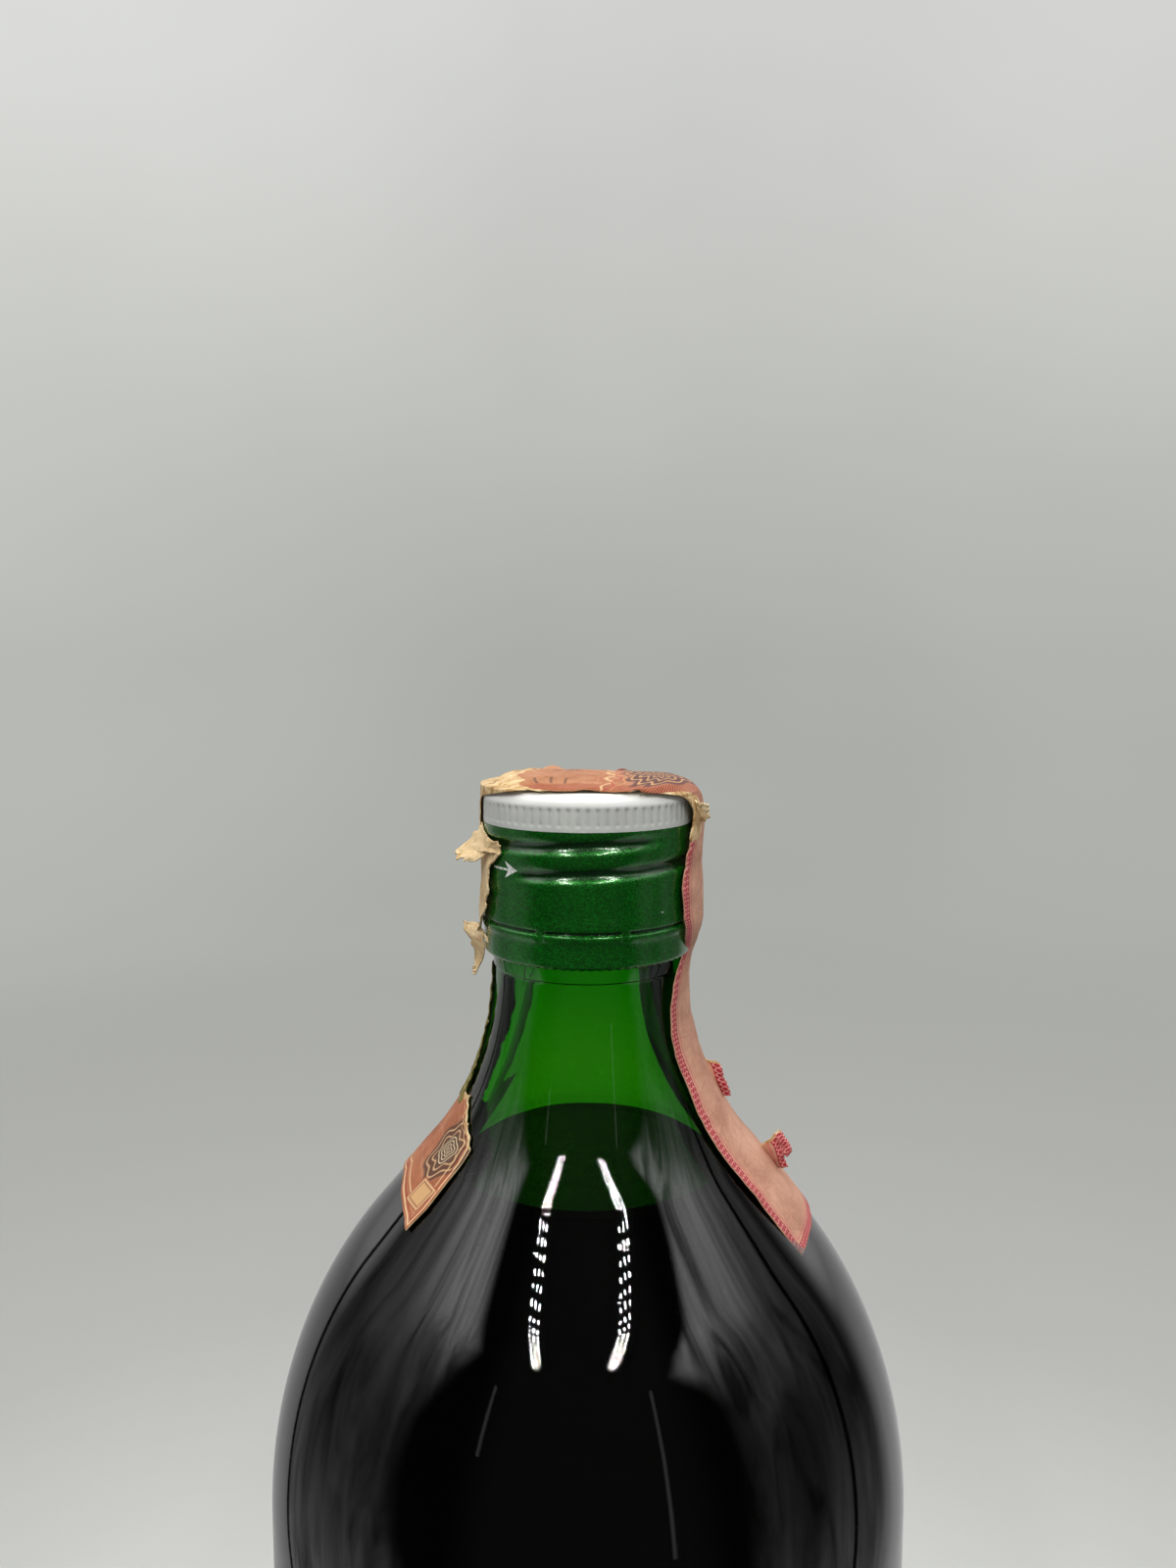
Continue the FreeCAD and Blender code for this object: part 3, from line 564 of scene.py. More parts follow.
# %% The drink's shape
OVERLAP = 0.2
MENISCUS, MENISCUS_REACH = 0.9, 2.2
bm = bmesh.new()
wall_arc = BORE_ARC - OVERLAP
wall_top = LEVEL + MENISCUS
start = degrees(asin((BORE_FOOT - wall_top) / wall_arc))
edge = BORE_RADIUS + BORE_ARC - wall_arc * cos(radians(start))
tip = bm.verts.new((0, 0, LEVEL * MM))
tip = side_to(bm, tip, edge - MENISCUS_REACH, LEVEL, 8)
for i in range(1, 9):
    share = i / 8
    tip = side_to(bm, tip, edge - MENISCUS_REACH * (1 - share), LEVEL + MENISCUS * share**3)
tip = draw_cavity(bm, tip, start, -OVERLAP)
turn_profile(bm, 128)
for face in bm.faces:
    middle = face.calc_center_median()
    face.material_index = 0 if middle.z / MM > LEVEL - 0.01 and face.normal.z > 0.05 else 1
print(f"the drink stands {LEVEL:.1f} mm high")

# %% Liqueur: a brown that is all but black, glossy where it meets the air
open_drink, tree = new_material("dark herbal liqueur, open surface")
place = add(tree, "TexCoord").outputs["Object"]
film = add(tree, "TexNoise", {"Vector": place, "Scale": 160.0, "Detail": 3.0})
tone = add(tree, "ValToRGB", {0: film.outputs[0]}, stops=[(0.35, "#070402"), (0.65, "#120a05")])
skin = add(tree, "Bump", {"Strength": 0.05, "Distance": 0.0002, "Height": film})
wet = add(
    tree, "BsdfPrincipled",
    {"Base Color": tone, "Roughness": 0.02, "IOR": 1.36, "Specular IOR Level": 0.01, "Normal": skin}
)
add(tree, "OutputMaterial", {"Surface": wet})
wall_drink, tree = new_material("dark herbal liqueur, against the glass")
place = add(tree, "TexCoord").outputs["Object"]
film = add(tree, "TexNoise", {"Vector": place, "Scale": 60.0, "Detail": 2.0})
tone = add(tree, "ValToRGB", {0: film.outputs[0]}, stops=[(0.35, "#020101"), (0.65, "#060403")])
wet = add(
    tree, "BsdfPrincipled", {"Base Color": tone, "Roughness": 0.3, "IOR": 1.36, "Specular IOR Level": 0.0}
)
add(tree, "OutputMaterial", {"Surface": wet})
drink = finished(bm, "dark_drink", [open_drink, wall_drink])
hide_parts("herbal_liqueur")

# %% [markdown]
# ## The cap
#
# A roll-on cap starts as a plain lacquered aluminium cup. A machine presses the grip ribs into its rim,
# rolls the thread into its skirt against the glass, cuts the row of slits that lets the tamper band
# tear off, and curls the foot under. The profile is turned in many steps, and then each vertex of the
# skirt is pressed inwards as those rollers do. The depth is kept in an attribute, so that the lacquers
# can be darkened with painted shade where the pressing is deep.

# %% The cap maker's sizes, in mm
CAP_RADIUS, CAP_BORE = 15.75, 14.7
RIM_ROUND, CROWN = 1.7, 1.7
KNURLS, KNURL_DEPTH, KNURL_DROP, KNURL_LENGTH = 72, 0.15, 2.0, 2.6
BORDER_DROP = 5.3
THREAD_PITCH, THREAD_TURNS, THREAD_DROP, THREAD_BEARING = 4.0, 1.29, 11.86, -140.0
THREAD_DEPTH, THREAD_HALF, THREAD_FOOT_DROP = 0.62, 1.8, 13.9
FLARE_DROP, FLARE = 17.2, 0.15
SLIT_DROP, SLIT_HEIGHT, SLIT_DEPTH = 19.6, 0.4, 0.4
BRIDGES, BRIDGE_ANGLE, BRIDGE_BEARING = 8, 6.0, -70.5
BEAD_DROP, CAP_LENGTH, FOOT_ROUND = 21.2, 24.9, 0.7

# %% Turn the cap
bm = bmesh.new()
hollow = bm.verts.layers.float.new("hollow")
tip = bm.verts.new((0, 0, TOP * MM))
tip = side_to(bm, tip, CAP_RADIUS - RIM_ROUND, TOP, 6)
tip = arc_about(bm, tip, CAP_RADIUS - RIM_ROUND, TOP - RIM_ROUND, 90, 8)
slit_top = TOP - SLIT_DROP + SLIT_HEIGHT / 2
slit_foot = TOP - SLIT_DROP - SLIT_HEIGHT / 2
for across, up, steps in (
    (CAP_RADIUS, TOP - BORDER_DROP, 18),
    (CAP_RADIUS, TOP - THREAD_FOOT_DROP, 34),
    (CAP_RADIUS, TOP - FLARE_DROP, 5),
    (CAP_RADIUS + 0.8 * FLARE, TOP - SLIT_DROP + 0.7, 3),
    (CAP_RADIUS + 0.4 * FLARE, slit_top + 0.05, 2),
    (CAP_RADIUS + 0.4 * FLARE, slit_foot - 0.05, 6),
    (CAP_RADIUS + 1.5 * FLARE, slit_foot - 0.35, 2),
    (CAP_RADIUS + 1.4 * FLARE, slit_foot - 0.75, 2),
    (CAP_RADIUS, TOP - BEAD_DROP, 3),
    (CAP_RADIUS, TOP - CAP_LENGTH + FOOT_ROUND, 5),
):
    tip = side_to(bm, tip, across, up, steps)
tip = arc_about(bm, tip, CAP_RADIUS - FOOT_ROUND, TOP - CAP_LENGTH + FOOT_ROUND, 90, 5)
tip = side_to(bm, tip, CAP_BORE, TOP - CAP_LENGTH + 0.2, 1)
tip = side_to(bm, tip, CAP_BORE, TOP - CROWN, 4)
tip = side_to(bm, tip, 0, TOP - CROWN, 2)
turn_profile(bm, KNURLS * 8)
print("the turned cap has", len(bm.verts), "vertices,", KNURLS * 8, "round it")


# %% Press the grip, the thread and the slits
def fade(value, low, high):
    """A smooth step from 0 at low to 1 at high."""
    share = min(max((value - low) / (high - low), 0.0), 1.0)
    return share * share * (3 - 2 * share)


for v in bm.verts:
    across, drop = hypot(v.co.x, v.co.y) / MM, TOP - v.co.z / MM
    if across < CAP_RADIUS - RIM_ROUND + 0.2 or across < CAP_BORE + 0.1:
        continue
    bearing = degrees(atan2(v.co.y, v.co.x))
    pressed = 0.0
    flute = (0.5 + 0.5 * cos(radians(bearing) * KNURLS)) ** 2
    along = fade(drop, KNURL_DROP - 0.15, KNURL_DROP + 0.2) - fade(
        drop, KNURL_DROP + KNURL_LENGTH - 0.2, KNURL_DROP + KNURL_LENGTH + 0.1
    )
    bite = exp(-(((drop - KNURL_DROP - 0.35) / 0.32) ** 2)) + 0.4 * exp(
        -(((drop - KNURL_DROP - KNURL_LENGTH + 0.3) / 0.25) ** 2)
    )
    uneven = 0.8 + 0.4 * noise.noise(Vector((bearing / 4, drop / 3, 1.0)))
    pressed += KNURL_DEPTH * along * flute * (1.0 + 0.9 * bite) * uneven
    for lap in (0, 1):
        share = ((bearing - THREAD_BEARING) % 360) / 360 + lap
        away = drop - (THREAD_DROP - THREAD_PITCH * share)
        ends = fade(share, 0.0, 0.06) * (1 - fade(share, THREAD_TURNS - 0.1, THREAD_TURNS))
        if abs(away) < THREAD_HALF:
            pressed += THREAD_DEPTH * ends * (0.5 + 0.5 * cos(pi * away / THREAD_HALF)) ** 1.7
    near_bridge = (bearing - BRIDGE_BEARING + 180 / BRIDGES) % (360 / BRIDGES) - 180 / BRIDGES
    if abs(drop - SLIT_DROP) <= SLIT_HEIGHT / 2 and across > CAP_BORE + 0.5:
        open_here = fade(abs(near_bridge), BRIDGE_ANGLE / 2 - 0.8, BRIDGE_ANGLE / 2)
        pressed += SLIT_DEPTH * open_here
    dimple = (1 - fade(abs(near_bridge), 1.0, BRIDGE_ANGLE / 2 + 0.5)) * exp(
        -(((drop - SLIT_DROP - 0.6) / 0.5) ** 2)
    )
    pressed += 0.16 * dimple
    v[hollow] = pressed
    scale = 1 - pressed / across
    v.co.x, v.co.y = v.co.x * scale, v.co.y * scale
    if drop > CAP_LENGTH - 0.6:
        v.co.z += 0.13 * MM * (0.5 + 0.5 * cos(radians(bearing) * KNURLS + 1.0)) * fade(
            drop, CAP_LENGTH - 0.6, CAP_LENGTH - 0.1
        )
bmesh.ops.recalc_face_normals(bm, faces=bm.faces[:])
for face in bm.faces:
    face.material_index = 0 if face.calc_center_median().z / MM > TOP - BORDER_DROP else 1
print("the deepest pressing is", round(max(v[hollow] for v in bm.verts), 2), "mm")

# %% [markdown]
# ## The cap's lacquers
#
# The sheet is lacquered before it is drawn into a cup. Above the border it is plain white and glossy, with
# painted shade in the grip's deep pressings and a painted highlight over the top. Below, a clear green
# lacquer with fine flakes lies over bright metal, so it is dark where it mirrors the tent's opening and
# lights up along each rolled edge; its grooves and slits are darkened with painted shade.

# %% White lacquer
white_lacquer, tree = new_material("white lacquer on aluminium")
place = add(tree, "TexCoord").outputs["Object"]
deep = add(tree, "Attribute", attribute_name="hollow").outputs["Fac"]
lacquer_noise = add(tree, "TexNoise", {"Vector": place, "Scale": 900.0, "Detail": 4.0, "Roughness": 0.7})
soft = add(tree, "TexNoise", {"Vector": place, "Scale": 140.0, "Detail": 3.0})
# Painted shade: the white is darkened in the grip's deep pressings, broken up by fine noise.
painted_hollow_shade = add(tree, "MapRange", {"Value": deep, "From Min": 0.06, "From Max": 0.26})
painted_hollow_shade = add(tree, "Math", {0: painted_hollow_shade, 1: lacquer_noise.outputs[0]}, operation="MULTIPLY")
painted_hollow_shade = add(tree, "Math", {0: painted_hollow_shade, 1: 1.15}, operation="MULTIPLY")
clean = add(
    tree, "ValToRGB", {0: soft.outputs[0]}, stops=[(0.3, "#bbbdba"), (0.5, "#c1c4c0"), (0.7, "#c8cac6")]
)
# Painted highlight: the top of the cap, rim included, is painted a brighter white.
up_cap = add(tree, "SeparateXYZ", {0: place}).outputs[2]
painted_rim_highlight = add(
    tree, "MapRange",
    {
        "Value": up_cap, "From Min": (TOP - 2.2) * MM, "From Max": (TOP - 1.5) * MM, "To Min": 1.0,
        "To Max": 0.0
    }
)
clean = add(tree, "Mix", {0: painted_rim_highlight, 1: "#f1f2f0", 2: clean.outputs[0]}, data_type="RGBA")
tone = add(tree, "Mix", {0: painted_hollow_shade, 1: clean, 2: "#8d8f8c"}, data_type="RGBA")
fleck = add(tree, "TexVoronoi", {"Vector": place, "Scale": 700.0})
fleck = add(
    tree, "MapRange",
    {"Value": fleck.outputs["Distance"], "From Min": 0.05, "From Max": 0.09, "To Min": 0.5, "To Max": 0.0}
)
rare = add(tree, "Math", {0: soft.outputs[0], 1: 0.62}, operation="GREATER_THAN")
fleck = add(tree, "Math", {0: fleck, 1: rare}, operation="MULTIPLY")
tone = add(tree, "Mix", {0: fleck, 1: tone, 2: "#5c605a"}, data_type="RGBA")
orange_peel = add(tree, "Bump", {"Strength": 0.15, "Distance": 0.00004, "Height": lacquer_noise.outputs[0]})
gloss = add(
    tree, "MapRange",
    {"Value": lacquer_noise.outputs[0], "From Min": 0.3, "From Max": 0.7, "To Min": 0.26, "To Max": 0.42}
)
shell = add(
    tree, "BsdfPrincipled", {"Base Color": tone, "Roughness": gloss, "IOR": 1.5, "Normal": orange_peel}
)
add(tree, "OutputMaterial", {"Surface": shell})

# %% Green lacquer with flakes, painted shade in its grooves, and a small printed arrow that shows the way to turn
green_lacquer, tree = new_material("green flake lacquer on aluminium")
place = add(tree, "TexCoord").outputs["Object"]
deep = add(tree, "Attribute", attribute_name="hollow").outputs["Fac"]
flake = add(tree, "TexVoronoi", {"Vector": place, "Scale": 5600.0})
flake = add(tree, "SeparateColor", {0: flake.outputs["Color"]})
cloud = add(tree, "TexNoise", {"Vector": place, "Scale": 90.0, "Detail": 3.0})
mixed = add(tree, "Math", {0: flake.outputs[0], 1: 0.55, 2: 0.1}, operation="MULTIPLY_ADD")
mixed = add(tree, "Math", {0: cloud.outputs[0], 1: 0.4, 2: mixed}, operation="MULTIPLY_ADD")
tone = add(
    tree, "ValToRGB", {0: mixed},
    stops=[(0.15, "#034408"), (0.55, "#055f0d"), (0.85, "#0c7e17"), (1.0, "#2a9a33")]
)
# Painted shade: the thread grooves and the slits are darkened.
wear_and_painted_groove_shade = add(
    tree, "MapRange", {"Value": deep, "From Min": 0.25, "From Max": 0.4, "To Min": 0.0, "To Max": 0.75}
)
tone = add(tree, "Mix", {0: wear_and_painted_groove_shade, 1: tone.outputs[0], 2: "#061a0b"}, data_type="RGBA")
parts = add(tree, "SeparateXYZ", {0: place})
ARROW_TIP, ARROW_UP, ARROW_HEAD, ARROW_HALF, ARROW_TAIL = -10.0, -11.25, 1.75, 1.15, 3.6
from_tip = add(tree, "Math", {0: parts.outputs[0], 1: -1000.0, 2: ARROW_TIP}, operation="MULTIPLY_ADD")
off_line = add(
    tree, "Math", {0: parts.outputs[2], 1: 1000.0, 2: -(TOP + ARROW_UP)}, operation="MULTIPLY_ADD"
)
off_line = add(tree, "Math", {0: off_line}, operation="ABSOLUTE")
taper = add(tree, "Math", {0: from_tip, 1: ARROW_HALF / ARROW_HEAD}, operation="MULTIPLY")
in_taper = add(tree, "Math", {0: off_line, 1: taper}, operation="LESS_THAN")
back_edge = add(tree, "Math", {0: off_line, 1: 0.45, 2: ARROW_HEAD - 0.45}, operation="MULTIPLY_ADD")
in_head = add(tree, "Math", {0: from_tip, 1: back_edge}, operation="LESS_THAN")
head = add(tree, "Math", {0: in_taper, 1: in_head}, operation="MULTIPLY")
in_shaft = add(tree, "Math", {0: off_line, 1: 0.17}, operation="LESS_THAN")
in_tail = add(tree, "Math", {0: from_tip, 1: ARROW_TAIL}, operation="LESS_THAN")
past_tip = add(tree, "Math", {0: from_tip, 1: 1.0}, operation="GREATER_THAN")
shaft = add(tree, "Math", {0: in_shaft, 1: in_tail}, operation="MULTIPLY")
shaft = add(tree, "Math", {0: shaft, 1: past_tip}, operation="MULTIPLY")
arrow = add(tree, "Math", {0: head, 1: shaft}, operation="MAXIMUM")
in_front = add(tree, "Math", {0: parts.outputs[1], 1: 0.0}, operation="LESS_THAN")
arrow = add(tree, "Math", {0: arrow, 1: in_front}, operation="MULTIPLY")
rubbed = add(tree, "TexNoise", {"Vector": place, "Scale": 2600.0, "Detail": 2.0})
rubbed = add(tree, "MapRange", {"Value": rubbed, "From Min": 0.3, "From Max": 0.45})
arrow = add(tree, "Math", {0: arrow, 1: rubbed}, operation="MULTIPLY")
nick = add(tree, "Mapping", {"Vector": place, "Scale": (420.0, 420.0, 1500.0)})
nick = add(tree, "TexVoronoi", {"Vector": nick, "Scale": 1.0})
nick_here = add(tree, "SeparateColor", {0: nick.outputs["Color"]})
nick_here = add(tree, "Math", {0: nick_here.outputs[1], 1: 0.988}, operation="GREATER_THAN")
nick = add(tree, "Math", {0: nick.outputs["Distance"], 1: 0.16}, operation="LESS_THAN")
nick = add(tree, "Math", {0: nick, 1: nick_here}, operation="MULTIPLY")
bare = add(tree, "Math", {0: arrow, 1: nick}, operation="MAXIMUM")
tone = add(tree, "Mix", {0: bare, 1: tone, 2: "#dfe3df"}, data_type="RGBA")
metal = add(
    tree, "MapRange", {"Value": bare, "From Min": 0.0, "From Max": 1.0, "To Min": 0.6, "To Max": 0.0}
)
gloss = add(
    tree, "MapRange",
    {"Value": flake.outputs[1], "From Min": 0.0, "From Max": 1.0, "To Min": 0.24, "To Max": 0.40}
)
tilt = add(tree, "Bump", {"Strength": 0.25, "Distance": 0.00003, "Height": flake.outputs[2]})
shell = add(
    tree, "BsdfPrincipled",
    {
        "Base Color": tone, "Metallic": metal, "Roughness": gloss, "Normal": tilt, "Coat Weight": 0.85,
        "Coat Roughness": 0.15
    }
)
add(tree, "OutputMaterial", {"Surface": shell})
cap = finished(bm, "roll_on_cap", [white_lacquer, green_lacquer])
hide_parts("screw_cap")

# %% [markdown]
# ## The tax strip's shape
#
# The strip is thin gummed paper, cut 29 mm wide. It lies over the cap like a low dome, drops down the
# right side, pinches in under the cap, and then lies along the neck and the shoulder to its cut end.
# Cloth tools would bend it anywhere, but paper bends one way at a time, so each piece is a flat grid
# that is laid along a line of named points: a row of the grid is one height on the bottle. The torn
# edges are moved in and out by noise, and a Solidify modifier gives the paper its thickness.

# %% A smooth line through points
def along_points(points, share):
    """A place on the smooth line through the points, share from 0 to 1. Any number of coordinates."""
    spot = share * (len(points) - 1)
    i = min(int(spot), len(points) - 2)
    t = spot - i
    before, start = points[max(i - 1, 0)], points[i]
    end, after = points[i + 1], points[min(i + 2, len(points) - 1)]
    found = []
    for p, a, b, q in zip(before, start, end, after):
        found.append(
            0.5 * (
                2 * a + (b - p) * t + (2 * p - 5 * a + 4 * b - q) * t**2 + (3 * a - p - 3 * b + q) * t**3
            )
        )
    return found


def between(table, key):
    """Straight reading of a table of (key, value) pairs, in rising or falling order of key."""
    if table[0][0] > table[-1][0]:
        table = table[::-1]
    if key <= table[0][0]:
        return table[0][1]
    for (a, low), (b, high) in zip(table, table[1:]):
        if key <= b:
            return low + (high - low) * (key - a) / (b - a)
    return table[-1][1]


def rough(x, y, seed, scale=1.0):
    """Noise from -1 to 1 that is the same in each run."""
    return noise.noise(Vector((x / scale, y / scale, 7.3 * seed)))


# %% One sheet of paper from a flat grid
PAPER = 0.22
MARKS = ("along", "across", "near", "far", "end", "torn")


def paper_sheet(name, rows, columns, lay, materials, thickness=PAPER, rim=None):
    """Lays a grid by lay(share along, share across), which gives a place in mm and its marks."""
    bm = bmesh.new()
    layers = [bm.verts.layers.float.new(mark) for mark in MARKS]
    bmesh.ops.create_grid(bm, x_segments=columns, y_segments=rows, size=0.5)
    for v in bm.verts:
        spot, marks = lay(v.co.y + 0.5, v.co.x + 0.5)
        v.co = Vector(spot) * MM
        for layer, mark in zip(layers, marks):
            v[layer] = mark
    sheet = finished(bm, name, materials)
    body = sheet.modifiers.new("paper thickness", "SOLIDIFY")
    body.thickness = thickness * MM
    body.offset = 1.0
    body.material_offset = len(materials) - 1
    body.material_offset_rim = len(materials) - 1 if rim is None else rim
    return sheet


# %% The strip over the cap: its middle line, as (reach to the right, height above the border)
BORDER = TOP - BORDER_DROP
MIDDLE = [
    (-16.15, -1.0), (-16.1, 1.2), (-15.97, 3.0), (-15.65, 4.35), (-14.8, 5.3), (-12.7, 6.3), (-9.4, 6.9),
    (-4.8, 6.95), (0, 6.8), (4.5, 6.7), (9.0, 6.55), (12.6, 6.35), (14.9, 5.75), (16.5, 4.5), (17.2, 2.6),
    (17.35, 0.0), (17.2, -3.0), (17.05, -6.0), (17.2, -9.0), (17.35, -12.0), (17.3, -15.0), (16.6, -17.6),
    (15.7, -20.2), (15.3, -23.0)
]
SHOULDER_LIFT = [
    (-23.0, 1.2), (-29.0, 1.0), (-35.0, 1.2), (-40.0, 1.45), (-46.0, 1.5), (-52.0, 1.6), (-58.0, 1.4),
    (-61.0, 1.1)
]
line = []
for i in range(161):
    line.append(along_points(MIDDLE, i / 160))
for i in range(1, 121):
    up = -23.0 - i * 38.0 / 120
    line.append([glass_radius(BORDER + up) + between(SHOULDER_LIFT, up), up])
run = [0.0]
for a, b in zip(line, line[1:]):
    run.append(run[-1] + hypot(b[0] - a[0], b[1] - a[1]))
zero = run[min(range(len(line)), key=lambda i: (abs(line[i][0]) + (0 if line[i][1] > 5 else 99)))]
run = [r - zero for r in run]
print(f"the strip's middle line runs from {run[0]:.1f} to {run[-1]:.1f} mm, measured from the cap's middle")


def on_line(distance):
    """The middle line's place at a distance along it."""
    low, high = 0, len(run) - 1
    while high - low > 1:
        half = (low + high) // 2
        low, high = (half, high) if run[half] <= distance else (low, half)
    t = (distance - run[low]) / (run[high] - run[low])
    return [a + (b - a) * t for a, b in zip(line[low], line[high])]


# %% Its front and back edges, as (distance along the middle line, width to that side)
RIM = 16.6
NEAR_EDGE = [
    (-22.5, 2.0), (-17.8, 2.2), (-17.0, 4.5), (-16.2, 9.0), (-15.2, 12.2), (-13.2, 13.7), (-9.0, 14.3),
    (0, 14.35), (13.5, 14.3), (15.6, 13.9), (RIM, 11.0), (17.6, 8.4), (19.5, 7.4), (24.0, 7.9), (30.5, 9.4),
    (35.0, 9.2), (38.3, 7.6), (40.3, 5.9), (42.5, 7.2), (45.4, 8.6), (48.0, 9.2), (52.0, 9.6), (59.0, 9.7),
    (63.5, 10.6), (68.0, 11.4), (73.0, 12.2), (79.0, 13.1), (83.5, 13.5), (90.0, 13.7)
]
FAR_EDGE = [
    (-22.5, 12.0), (-16.8, 13.0), (-14.0, 14.3), (0, 14.4), (15.0, 14.3), (18.0, 13.0), (24.0, 12.2),
    (34.0, 11.4), (41.0, 8.5), (46.0, 9.6), (56.0, 10.2), (66.0, 11.0), (76.0, 11.6), (90.0, 11.6)
]
START, END = run[0], run[-1]
DISC_EDGE = 15.9


def lay_strip(share, side):
    """A place on the strip: share along its length, side from the back edge to the front one."""
    distance = START + (END - START) * share
    near = between(NEAR_EDGE, distance)
    far = between(FAR_EDGE, distance)
    ragged = fade(distance, 16.2, 16.8) * (1 - fade(distance, 26.5, 29.0)) + (
        1 - fade(distance, -16.0, -14.5)
    )
    near += ragged * (0.55 * rough(distance, 0, 1, 1.1) + 0.3 * rough(distance, 5, 2, 0.45))
    near += (1 - ragged) * 0.10 * rough(distance, 0, 3, 2.5)
    if distance < -8.0:
        near -= 0.35 * max(0.0, rough(distance, 2, 4, 1.3))
    across = far - (far + near) * side
    reach, up = on_line(distance)
    half = near if across < 0 else far
    bow = min(abs(across) / max(half, 1.0), 1.0)
    crown = 5.36 + (up - 5.36) * (1 - 0.96 * bow**2.2)
    on_top = 1 - fade(abs(reach), 12.5, 15.6) if up > 3 else 0.0
    height = up + (crown - up) * on_top
    if distance > 17:
        tuck = between(
            [(17, 0.3), (24, 0.7), (34, 0.8), (40, 0.9), (46, 0.6), (60, 0.8), (80, 0.95), (90, 0.7)],
            distance
        )
        reach -= tuck * bow**2
    radius = max(abs(reach), DISC_EDGE)
    x = reach * sqrt(max(1 - (across / radius) ** 2, 0.02))
    if distance > 78:
        last = fade(distance, 78, END)
        height += last * (
            0.9 * rough(across, 3, 5, 16) - 1.0 * max(0.0, -across - 9.0) / 5 - 1.6 * max(0.0, across - 2) / 9
        )
    crumple = 0.10 * rough(distance, across, 6, 3.4) + 0.05 * rough(distance, across, 7, 1.3)
    lift = crumple + 0.16 * abs(rough(distance + across, distance - across, 8, 5.0))
    if on_top > 0.5:
        lift += 0.22 * exp(-((reach + 6.7) ** 2 + (across - 9) ** 2) / 2.2) * 3 + 0.5 * exp(
            -((reach - 8.4) ** 2 + (across - 12) ** 2) / 1.2
        )
        lift += 0.25 * abs(rough(distance, across * 0.4, 9, 1.7)) * fade(-distance, 4.0, 9.0)
        front_gap = exp(-(((reach + 0.5) / 4.5) ** 2)) * fade(-across, 9.0, 14.0)
        lift += 0.35 * front_gap
        height += max(lift, 0.0)
    else:
        away = 1 + lift / max(hypot(x, across), 1)
        x, across = x * away, across * away
        if -15 > distance:
            x = min(x, -sqrt(max(15.98**2 - across**2, 0.0)))
    torn = fade(distance, 15.6, 16.6) * (
        1 - fade(distance + 0.8 * rough(across, distance, 10, 1.5), 22.0, 25.5)
    )
    torn *= 1 - fade(across + near, 2.2, 4.2)
    left_tear = 1 - fade(
        distance - 0.3 * min(across, 0.0) + 2.6 * rough(across, 0, 11, 3.0) + 0.9 * rough(
            across, distance, 12, 0.8
        ),
        -9.2, -8.0
    )
    torn = max(torn, left_tear)
    marks = (distance, across, across + near, far - across, END - distance, torn)
    return (x, across, BORDER + height), marks


# %% [markdown]
# ## The strip's print
#
# Tax strips are printed in line work: a fine pattern round the edge, a toned ground and a rosette of
# turned lines, all hard to copy. The pieces here have a plain ground, a wavy border, hatching and a
# rosette of crossing curves, and no lettering. The patterns follow attributes that measure in
# millimetres from each edge of the strip, so they bend with the paper. Torn places show the fibres.

# %% What all the printed papers share: fibres, creases and their bump
def paper_ground(tree, light, middle, dark):
    """The paper's own tone, with its creases; gives the tone, the crease mask and a bump."""
    place = add(tree, "TexCoord").outputs["Object"]
    fibre = add(tree, "TexNoise", {"Vector": place, "Scale": 1500.0, "Detail": 4.0, "Roughness": 0.65})
    stain = add(tree, "TexNoise", {"Vector": place, "Scale": 190.0, "Detail": 3.0})
    blend = add(tree, "Math", {0: fibre.outputs[0], 1: 0.35, 2: 0.0}, operation="MULTIPLY_ADD")
    blend = add(tree, "Math", {0: stain.outputs[0], 1: 0.65, 2: blend}, operation="MULTIPLY_ADD")
    tone = add(tree, "ValToRGB", {0: blend}, stops=[(0.34, dark), (0.5, middle), (0.66, light)])
    leaning = add(
        tree, "Mapping", {"Vector": place, "Rotation": (0.5, 0.4, 0.9), "Scale": (260.0, 90.0, 200.0)}
    )
    fold = add(tree, "TexVoronoi", {"Vector": leaning, "Scale": 1.0}, feature="DISTANCE_TO_EDGE")
    fold = add(
        tree, "MapRange",
        {"Value": fold.outputs["Distance"], "From Min": 0.0, "From Max": 0.05, "To Min": 1.0, "To Max": 0.0}
    )
    rise = add(tree, "Math", {0: fold, 1: -0.8, 2: fibre.outputs[0]}, operation="MULTIPLY_ADD")
    bump = add(tree, "Bump", {"Strength": 0.45, "Distance": 0.00008, "Height": rise})
    return tone.outputs[0], fold, bump


# %% Printed side of the strip over the cap
strip_print, tree = new_material("gummed tax strip paper, line print")
tone, fold, bump = paper_ground(tree, "#d3a48b", "#c5937b", "#ae7c66")
top_tone, _, _ = paper_ground(tree, "#bd8863", "#ac7551", "#925d40")
mark = {name: add(tree, "Attribute", attribute_name=name).outputs["Fac"] for name in MARKS}
down_side = add(
    tree, "MapRange", {"Value": mark["along"], "From Min": 13.0, "From Max": 21.0},
    interpolation_type="SMOOTHSTEP"
)
tone = add(tree, "Mix", {0: down_side, 1: top_tone, 2: tone}, data_type="RGBA")
faded = add(tree, "Math", {0: fold, 1: 0.35}, operation="MULTIPLY")
tone = add(tree, "Mix", {0: faded, 1: tone, 2: "#b98472"}, data_type="RGBA")

